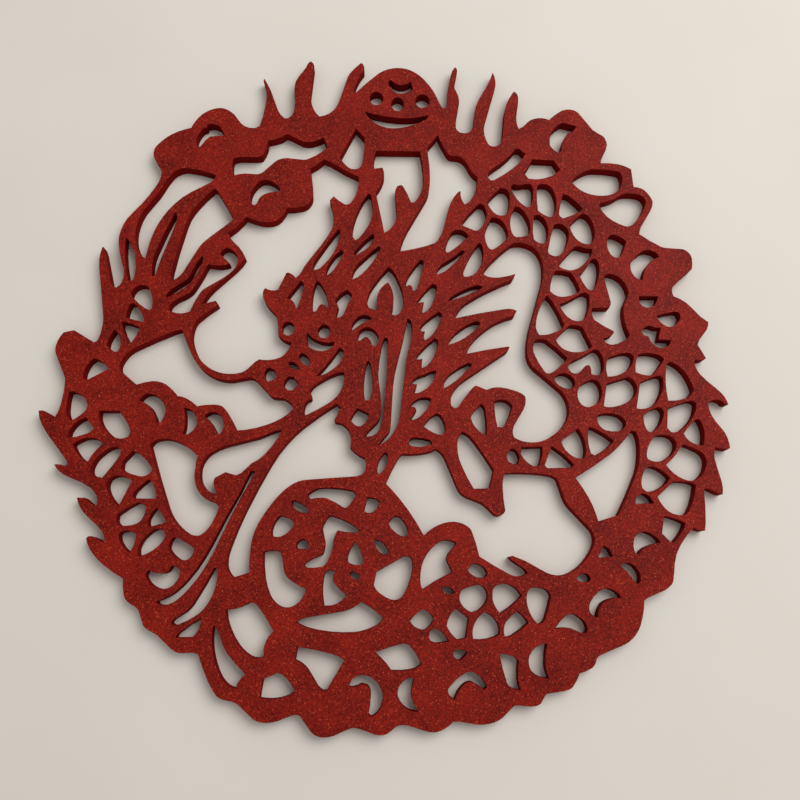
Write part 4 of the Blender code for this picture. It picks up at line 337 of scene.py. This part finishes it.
# %% The layered wall finish
LAYER = 0.2 * MILLIMETRE
STREAK = 6.0 * MILLIMETRE     # length of a streak along the wall
STREAK_DEPTH = 0.04 * MILLIMETRE
GROOVED_SHINE = 0.02
wall_finish, tree, shader, place = new_finish("pla_printed_wall", 0.6, GROOVED_SHINE)
stretched = add_node(tree, "ShaderNodeMapping",
                     {"Vector": place, "Scale": (1 / STREAK, 1 / STREAK, 1 / LAYER)})
streaks = add_node(tree, "ShaderNodeTexNoise",
                   {"Vector": stretched.outputs[0], "Scale": 1.0, "Detail": 1.0})
share = add_node(tree, "ShaderNodeMapRange",
                 {"Value": streaks.outputs[0], "From Min": 0.3, "From Max": 0.7})
# Painted shade: the wall's red is set darker than the front's, for walls that take the light
# side-on. The streaks between its two tones are the real layers.
wall_red_with_painted_shade = add_node(tree, "ShaderNodeMix",
                    {0: share.outputs[0], 6: hex_colour("#660502"), 7: hex_colour("#780b05")},
                    data_type="RGBA")
streak_bump = add_node(tree, "ShaderNodeBump",
                       {"Height": streaks.outputs[0], "Strength": 0.4,
                        "Distance": STREAK_DEPTH})
tree.links.new(wall_red_with_painted_shade.outputs[2], shader.inputs["Base Color"])
tree.links.new(streak_bump.outputs[0], shader.inputs["Normal"])
print("wall layers", round(LAYER / MILLIMETRE, 2), "mm")

# %% [markdown]
# ## The back: the last layer, drawn in diagonal lines
# The photograph doesn't show the back. A print that starts on its front face ends on its back,
# and its last layer is filled with threads at 45 degrees, each about as wide as the nozzle.
# A wave pattern turned by 45 degrees gives them, with a little noise so that no two are alike.

# %% The lined back finish
THREAD = 0.45 * MILLIMETRE
THREAD_DEPTH = 0.05 * MILLIMETRE
WAVE_PERIOD = math.tau / 20      # length of one wave of a Wave Texture at scale 1
back_finish, tree, shader, place = new_finish("pla_last_layer", 0.38)
turned = add_node(tree, "ShaderNodeMapping",
                  {"Vector": place, "Rotation": (0, 0, math.radians(45))})
threads = add_node(tree, "ShaderNodeTexWave",
                   {"Vector": turned.outputs[0], "Scale": WAVE_PERIOD / THREAD,
                    "Distortion": 0.6, "Detail": 1.0, "Detail Scale": 0.4})
share = add_node(tree, "ShaderNodeMapRange",
                 {"Value": threads.outputs["Fac"], "From Min": 0.0, "From Max": 0.5})
back_red = add_node(tree, "ShaderNodeMix",
                    {0: share.outputs[0], 6: hex_colour("#5e0c07"), 7: hex_colour("#802014")},
                    data_type="RGBA")
thread_bump = add_node(tree, "ShaderNodeBump",
                       {"Height": threads.outputs["Fac"], "Strength": 0.5,
                        "Distance": THREAD_DEPTH})
tree.links.new(back_red.outputs[2], shader.inputs["Base Color"])
tree.links.new(thread_bump.outputs[0], shader.inputs["Normal"])
print("back threads", round(THREAD / MILLIMETRE, 2), "mm")

# %% [markdown]
# ## The plate, built the way it is printed
# The whole plate follows one rule: the same lines, layer on layer. Sweeping a profile along the
# lines would do it, but a repeat zone shows the idea better: each turn raises the newest edges
# by half a ridge and moves them out, or back in, along the stored direction. The first and the
# last step are the small bevels that take the sharpness off both rims. The tree gets its sizes
# and finishes as named inputs, so each can be changed by itself.

# %% Inputs of the printed plate
plate_tree = bpy.data.node_groups.new("printed_plate", "GeometryNodeTree")
socket_of = {}
for name, kind in (("Lines", "Geometry"), ("Thickness", "Float"), ("Ridges", "Int"),
                   ("Ridge Depth", "Float"), ("Rim", "Float"), ("Front Finish", "Material"),
                   ("Wall Finish", "Material"), ("Back Finish", "Material")):
    socket_of[name] = plate_tree.interface.new_socket(
        name, in_out="INPUT", socket_type="NodeSocket" + kind)
plate_tree.interface.new_socket("Plate", in_out="OUTPUT", socket_type="NodeSocketGeometry")
given = add_node(plate_tree, "NodeGroupInput").outputs
print("inputs:", ", ".join(socket_of))

# %% [markdown]
# ## The two faces
# Front and back are the same flat lace, with 185 windows in it. Cutting each window out with a
# boolean would be slow and could leave scraps. Filling closed curves does it at once: a curve
# inside another becomes a hole. The lines are first set in by the width of the rim, which is
# where the bevel will start.

# %% Set in the lines for the bevel, and fill them for the two faces
out = add_node(plate_tree, "GeometryNodeInputNamedAttribute", {"Name": "outward"},
               data_type="FLOAT_VECTOR").outputs[0]
minus_rim = add_node(plate_tree, "ShaderNodeMath", {0: given["Rim"], 1: -1.0},
                     operation="MULTIPLY")
inset = add_node(plate_tree, "ShaderNodeVectorMath", {0: out, "Scale": minus_rim.outputs[0]},
                 operation="SCALE")
rim_lines = add_node(plate_tree, "GeometryNodeSetPosition",
                     {"Geometry": given["Lines"], "Offset": inset.outputs[0]})
rim_curves = add_node(plate_tree, "GeometryNodeMeshToCurve", {"Mesh": rim_lines.outputs[0]})
flat_face = add_node(plate_tree, "GeometryNodeFillCurve", {"Curve": rim_curves.outputs[0]})
back_face = add_node(plate_tree, "GeometryNodeFlipFaces", {"Mesh": flat_face.outputs[0]})
lift = add_node(plate_tree, "ShaderNodeCombineXYZ", {"Z": given["Thickness"]})
front_face = add_node(plate_tree, "GeometryNodeSetPosition",
                      {"Geometry": flat_face.outputs[0], "Offset": lift.outputs[0]})
print("nodes for the two faces:", len(plate_tree.nodes))

# %% [markdown]
# ## The first bevel
# No printed rim is a perfect edge, and a thin bevel catches a thread of light that shows where
# the face ends. The Bevel modifier would need rules to leave the ridges alone, so the bevel is
# simply the first step of the wall: the rim lines are raised by the rim's height and moved
# out, as far as the groove below the first ridge.

# %% Raise the first bevel
rim_up = add_node(plate_tree, "ShaderNodeCombineXYZ", {"Z": given["Rim"]})
bevel_depth = add_node(plate_tree, "ShaderNodeMath",
                       {0: given["Rim"], 1: given["Ridge Depth"]}, operation="SUBTRACT")
bevel_out = add_node(plate_tree, "ShaderNodeVectorMath",
                     {0: out, "Scale": bevel_depth.outputs[0]}, operation="SCALE")
first_bevel = add_node(plate_tree, "GeometryNodeExtrudeMesh",
                       {"Mesh": rim_lines.outputs[0], "Offset": rim_up.outputs[0]}, mode="EDGES")
first_wall = add_node(plate_tree, "GeometryNodeSetPosition",
                      {"Geometry": first_bevel.outputs["Mesh"],
                       "Selection": first_bevel.outputs["Top"], "Offset": bevel_out.outputs[0]})
print("nodes with the first bevel:", len(plate_tree.nodes))

# %% [markdown]
# ## The height of one step
# What is left of the thickness between the two bevels is shared out evenly, so the ridges
# always end at the last bevel, whatever thickness the tree is given.

# %% Share the wall's height out over half ridges
half_ridges = add_node(plate_tree, "ShaderNodeMath", {0: given["Ridges"], 1: 2.0},
                       operation="MULTIPLY")
two_rims = add_node(plate_tree, "ShaderNodeMath", {0: given["Rim"], 1: 2.0},
                    operation="MULTIPLY")
wall_height = add_node(plate_tree, "ShaderNodeMath",
                       {0: given["Thickness"], 1: two_rims.outputs[0]}, operation="SUBTRACT")
half_ridge = add_node(plate_tree, "ShaderNodeMath",
                      {0: wall_height.outputs[0], 1: half_ridges.outputs[0]}, operation="DIVIDE")
step_up = add_node(plate_tree, "ShaderNodeCombineXYZ", {"Z": half_ridge.outputs[0]})
print("nodes with the step:", len(plate_tree.nodes))

# %% [markdown]
# ## The ridges of the wall
# A repeat zone runs the nodes between its two ends again and again, and hands what they made
# to the next turn. Three things go round here: the wall so far, which of its edges are the
# newest, and the way they move. The way changes its sign each turn, so the wall goes out to a
# ridge and back in to a groove.

# %% Repeat half a ridge at a time
zone_end = add_node(plate_tree, "GeometryNodeRepeatOutput")
zone_end.repeat_items.new("BOOLEAN", "Newest Edges")
zone_end.repeat_items.new("FLOAT", "Way")
zone_start = add_node(plate_tree, "GeometryNodeRepeatInput")
zone_start.pair_with_output(zone_end)
for name, socket in (("Iterations", half_ridges.outputs[0]),
                     ("Geometry", first_wall.outputs[0]),
                     ("Newest Edges", first_bevel.outputs["Top"])):
    plate_tree.links.new(socket, zone_start.inputs[name])
zone_start.inputs["Way"].default_value = 1.0

raised = add_node(plate_tree, "GeometryNodeExtrudeMesh",
                  {"Mesh": zone_start.outputs["Geometry"],
                   "Selection": zone_start.outputs["Newest Edges"],
                   "Offset": step_up.outputs[0]}, mode="EDGES")
signed_depth = add_node(plate_tree, "ShaderNodeMath",
                        {0: zone_start.outputs["Way"], 1: given["Ridge Depth"]},
                        operation="MULTIPLY")
step_out = add_node(plate_tree, "ShaderNodeVectorMath",
                    {0: out, "Scale": signed_depth.outputs[0]}, operation="SCALE")
ridged = add_node(plate_tree, "GeometryNodeSetPosition",
                  {"Geometry": raised.outputs["Mesh"], "Selection": raised.outputs["Top"],
                   "Offset": step_out.outputs[0]})
other_way = add_node(plate_tree, "ShaderNodeMath", {0: zone_start.outputs["Way"], 1: -1.0},
                     operation="MULTIPLY")
for name, socket in (("Geometry", ridged.outputs[0]), ("Newest Edges", raised.outputs["Top"]),
                     ("Way", other_way.outputs[0])):
    plate_tree.links.new(socket, zone_end.inputs[name])
print("carried round the zone:", ", ".join(item.name for item in zone_end.repeat_items))

# %% [markdown]
# ## The last bevel, and one closed shell
# The last bevel is the first one backwards. It ends exactly on the front face's outline, so
# merging points that lie on each other joins walls and faces to one closed shell. Solidify
# would have made a shell as well, but with straight walls and no bevel.

# %% Close the plate
bevel_in = add_node(plate_tree, "ShaderNodeVectorMath", {0: bevel_out.outputs[0], "Scale": -1.0},
                    operation="SCALE")
last_bevel = add_node(plate_tree, "GeometryNodeExtrudeMesh",
                      {"Mesh": zone_end.outputs["Geometry"],
                       "Selection": zone_end.outputs["Newest Edges"],
                       "Offset": rim_up.outputs[0]}, mode="EDGES")
walls = add_node(plate_tree, "GeometryNodeSetPosition",
                 {"Geometry": last_bevel.outputs["Mesh"], "Selection": last_bevel.outputs["Top"],
                  "Offset": bevel_in.outputs[0]})
shell = add_node(plate_tree, "GeometryNodeJoinGeometry")
for surface in (walls, front_face, back_face):
    plate_tree.links.new(surface.outputs[0], shell.inputs[0])
closed = add_node(plate_tree, "GeometryNodeMergeByDistance",
                  {"Geometry": shell.outputs[0], "Distance": WELD_DISTANCE})
print("nodes with the shell:", len(plate_tree.nodes))

# %% [markdown]
# ## Which finish goes where
# One plate has three surfaces: the grainy front, the layered walls and the lined back. Picking
# faces by number would break with every change of shape. The way a face looks tells them
# apart: all of it gets the wall finish, and then what faces straight up or down gets its own.

# %% Give the plate its three finishes
LEVEL_FACE = 0.9             # upward part of a normal; the bevels have about 0.5
facing = add_node(plate_tree, "ShaderNodeSeparateXYZ",
                  {0: add_node(plate_tree, "GeometryNodeInputNormal").outputs[0]})
faces_up = add_node(plate_tree, "FunctionNodeCompare",
                    {0: facing.outputs["Z"], 1: LEVEL_FACE}, operation="GREATER_THAN")
faces_down = add_node(plate_tree, "FunctionNodeCompare",
                      {0: facing.outputs["Z"], 1: -LEVEL_FACE}, operation="LESS_THAN")
plate = add_node(plate_tree, "GeometryNodeRealizeInstances", {"Geometry": closed.outputs[0]})
for finish, where in (("Wall Finish", True), ("Front Finish", faces_up.outputs[0]),
                      ("Back Finish", faces_down.outputs[0])):
    plate = add_node(plate_tree, "GeometryNodeSetMaterial",
                     {"Geometry": plate.outputs[0], "Selection": where,
                      "Material": given[finish]})
add_node(plate_tree, "NodeGroupOutput", {0: plate.outputs[0]})
print("nodes that print the plate:", len(plate_tree.nodes))

# %% [markdown]
# ## Printing it
# The tree runs once on the lines, and what it makes is kept as a plain mesh. A live modifier
# would give the same picture. The real layers are 0.2 mm. A drawn ridge stands for two of them,
# so that it shows and the mesh stays light: each of its two steps costs a ring of faces round
# every window.

# %% Print the plate
DRAWN_RIDGE = 2 * LAYER
RIDGE_DEPTH = 0.03 * MILLIMETRE
RIM = 0.08 * MILLIMETRE
ridges = round((plate_thickness - 2 * RIM) / DRAWN_RIDGE)
builder = plate_builder.modifiers.new("printed_plate", "NODES")
builder.node_group = plate_tree
for name, value in (("Thickness", plate_thickness), ("Ridges", ridges),
                    ("Ridge Depth", RIDGE_DEPTH), ("Rim", RIM),
                    ("Front Finish", front_finish), ("Wall Finish", wall_finish),
                    ("Back Finish", back_finish)):
    builder[socket_of[name].identifier] = value
bpy.context.view_layer.update()
evaluated = plate_builder.evaluated_get(bpy.context.evaluated_depsgraph_get())
plate_mesh = bpy.data.meshes.new_from_object(evaluated)
plate_mesh.name = "printed_dragon"
bpy.data.objects.remove(plate_builder)
print("ridges:", ridges, " points:", len(plate_mesh.vertices), " faces:", len(plate_mesh.polygons))

# %% [markdown]
# ## Outward faces and honest edges
# Faces that grew from loose edges may look either way, so they are turned outwards together.
# Smooth shading rounds the curves. A ridge is round, too, but the groove between two ridges is
# sharp, as are the rims and the corners of the cuts, or the flat faces would look dented. At a
# groove the face above looks further down than the face below it.

# %% Turn the faces outwards and mark the sharp edges
CORNER_EDGE = math.radians(32)
CUBIC_METRE = 1e6                # in millilitres
shaped = bmesh.new()
shaped.from_mesh(plate_mesh)
bmesh.ops.recalc_face_normals(shaped, faces=shaped.faces)
open_edges = sum(len(edge.link_faces) != 2 for edge in shaped.edges)
for face in shaped.faces:
    face.smooth = True
for edge in shaped.edges:
    if len(edge.link_faces) == 2:
        upper, lower = sorted(edge.link_faces, key=lambda face: -face.calc_center_median().z)
        is_level = abs(edge.verts[0].co.z - edge.verts[1].co.z) < WELD_DISTANCE
        is_groove = is_level and upper.normal.z < lower.normal.z
        edge.smooth = not (is_groove or edge.calc_face_angle(0) > CORNER_EDGE)
shaped.to_mesh(plate_mesh)
triangles = sum(len(face.verts) - 2 for face in shaped.faces)
volume = shaped.calc_volume(signed=True) * CUBIC_METRE
shaped.free()
print("triangles:", triangles, " open edges:", open_edges, " volume, ml:", round(volume, 2))

# %% [markdown]
# ## The printed plate takes the solid's place
# The solid stays in the physics model, and the printed plate stands for it in the picture. It
# could be laid over the solid, but then the straight cuts would show through the curves. The
# object has no joints, so the plate rides on its one body.

# %% Put the plate in the place of the solid one
printed_dragon = bpy.data.objects.new("printed_dragon", plate_mesh)
bpy.context.scene.collection.objects.link(printed_dragon)
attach(printed_dragon, "root")
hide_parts("dragon_cutout")
for index, finish in enumerate(plate_mesh.materials):
    if finish:
        faces_with_it = sum(face.material_index == index for face in plate_mesh.polygons)
        print(finish.name, "on", faces_with_it, "faces")

# %% [markdown]
# ## The floor
# The plate lies on a pale, slightly warm sheet of card. A plane with one colour would do, but
# looks empty. A faint, wide noise gives it the soft clouds that real card has.

# %% Lay the pale floor
FLOOR_SIDE = 4.0                       # metres
FLOOR_GAP = 0.02 * MILLIMETRE          # keeps the plate's back off the floor's own plane
CLOUD = 50 * MILLIMETRE                # size of the clouds in the card
card_finish, tree, shader, place = new_finish("matte_card", 0.9)
clouds = add_node(tree, "ShaderNodeTexNoise", {"Vector": place, "Scale": 1 / CLOUD, "Detail": 3.0})
card_colour = add_node(tree, "ShaderNodeMix",
                       {0: clouds.outputs[0], 6: hex_colour("#dcd5ca"),
                        7: hex_colour("#e2dcd2")}, data_type="RGBA")
tree.links.new(card_colour.outputs[2], shader.inputs["Base Color"])

floor_mesh = bpy.data.meshes.new("pale_card")
floor_corners = [(x * FLOOR_SIDE / 2, y * FLOOR_SIDE / 2, solid_low.z - FLOOR_GAP)
                 for x, y in ((-1, -1), (1, -1), (1, 1), (-1, 1))]
floor_mesh.from_pydata(floor_corners, [], [(0, 1, 2, 3)])
floor_mesh.materials.append(card_finish)
floor = bpy.data.objects.new("floor", floor_mesh)
bpy.context.scene.collection.objects.link(floor)
print("floor:", FLOOR_SIDE, "m wide")

# %% [markdown]
# ## Light from the upper right
# In the photograph the shadows are short and soft and fall to the left, and the upper right is
# a little brighter. One large lamp up there does that. A small strong lamp would draw hard
# shadows in every window.

# %% Hang the lamp
LAMP_WIDTH = 0.70                      # metres
LAMP_POWER = 5.1                       # watts
LAMP_PLACE = Vector((0.40, 0.32, 0.72))
lamp_data = bpy.data.lights.new("soft_lamp", "AREA")
lamp_data.shape = "DISK"
lamp_data.size = LAMP_WIDTH
lamp_data.energy = LAMP_POWER
lamp = bpy.data.objects.new("soft_lamp", lamp_data)
lamp.location = LAMP_PLACE
lamp.rotation_euler = (-LAMP_PLACE).to_track_quat("-Z", "Y").to_euler()
bpy.context.scene.collection.objects.link(lamp)
print("lamp:", round(LAMP_PLACE.length, 2), "m from the middle of the plate")

# %% [markdown]
# ## The room's own light
# In the photograph the shadows are never black, because a room throws light back from all
# sides. A second lamp would cast shadows of its own, so a weak and even white sky does it.
# The camera sees another sky than the plate does: a pale grey like the floor's, in case the
# view passes the floor's edge.

# %% Set the sky
SKY_LIGHT = 0.48                       # a white sheet under it alone looks this bright, of 1
world = bpy.data.worlds.new("pale_sky")
bpy.context.scene.world = world
world.use_nodes = True
tree = world.node_tree
tree.nodes.clear()
light_sky = add_node(tree, "ShaderNodeBackground",
                     {"Color": hex_colour("#ffffff"), "Strength": SKY_LIGHT})
seen_sky = add_node(tree, "ShaderNodeBackground", {"Color": hex_colour("#dad6cc")})
path = add_node(tree, "ShaderNodeLightPath")
sky = add_node(tree, "ShaderNodeMixShader",
               {0: path.outputs["Is Camera Ray"], 1: light_sky.outputs[0],
                2: seen_sky.outputs[0]})
add_node(tree, "ShaderNodeOutputWorld", {"Surface": sky.outputs[0]})
bpy.context.scene.view_settings.view_transform = "Standard"
print("sky light:", SKY_LIGHT)

# %% [markdown]
# ## The camera
# The photograph was taken by hand from above the lower part of the plate, tilted a little back.
# The camera stands at that spot: its place follows from how wide the walls show on each side
# of the plate. The plate's upright axis, as the camera sees it, gives the tilt: its parts are
# to the right, up, and towards the camera. The plate's sideways axis is the view's own right,
# laid flat on the plate.

# %% Stand where the photographer stood
FILM_WIDTH = 36.0                      # millimetres, as is the lens
LENS = 38.25
CAMERA_PLACE = (-0.00297, -0.06436, 0.24581)
NEAREST_SEEN = 0.01
up_seen = Vector((0.02718, 0.22199, 0.97467)).normalized()
right_seen = (Vector((1, 0, 0)) - up_seen.x * up_seen).normalized()
camera_turn = Matrix((right_seen, up_seen.cross(right_seen), up_seen))

camera_data = bpy.data.cameras.new("camera")
camera_data.sensor_width = FILM_WIDTH
camera_data.lens = LENS
camera_data.clip_start = NEAREST_SEEN
camera = bpy.data.objects.new("camera", camera_data)
camera.matrix_world = Matrix.Translation(CAMERA_PLACE) @ camera_turn.to_4x4()
bpy.context.scene.collection.objects.link(camera)
bpy.context.scene.camera = camera
print("camera tilt, degrees:", round(math.degrees(math.acos(up_seen.z)), 1))
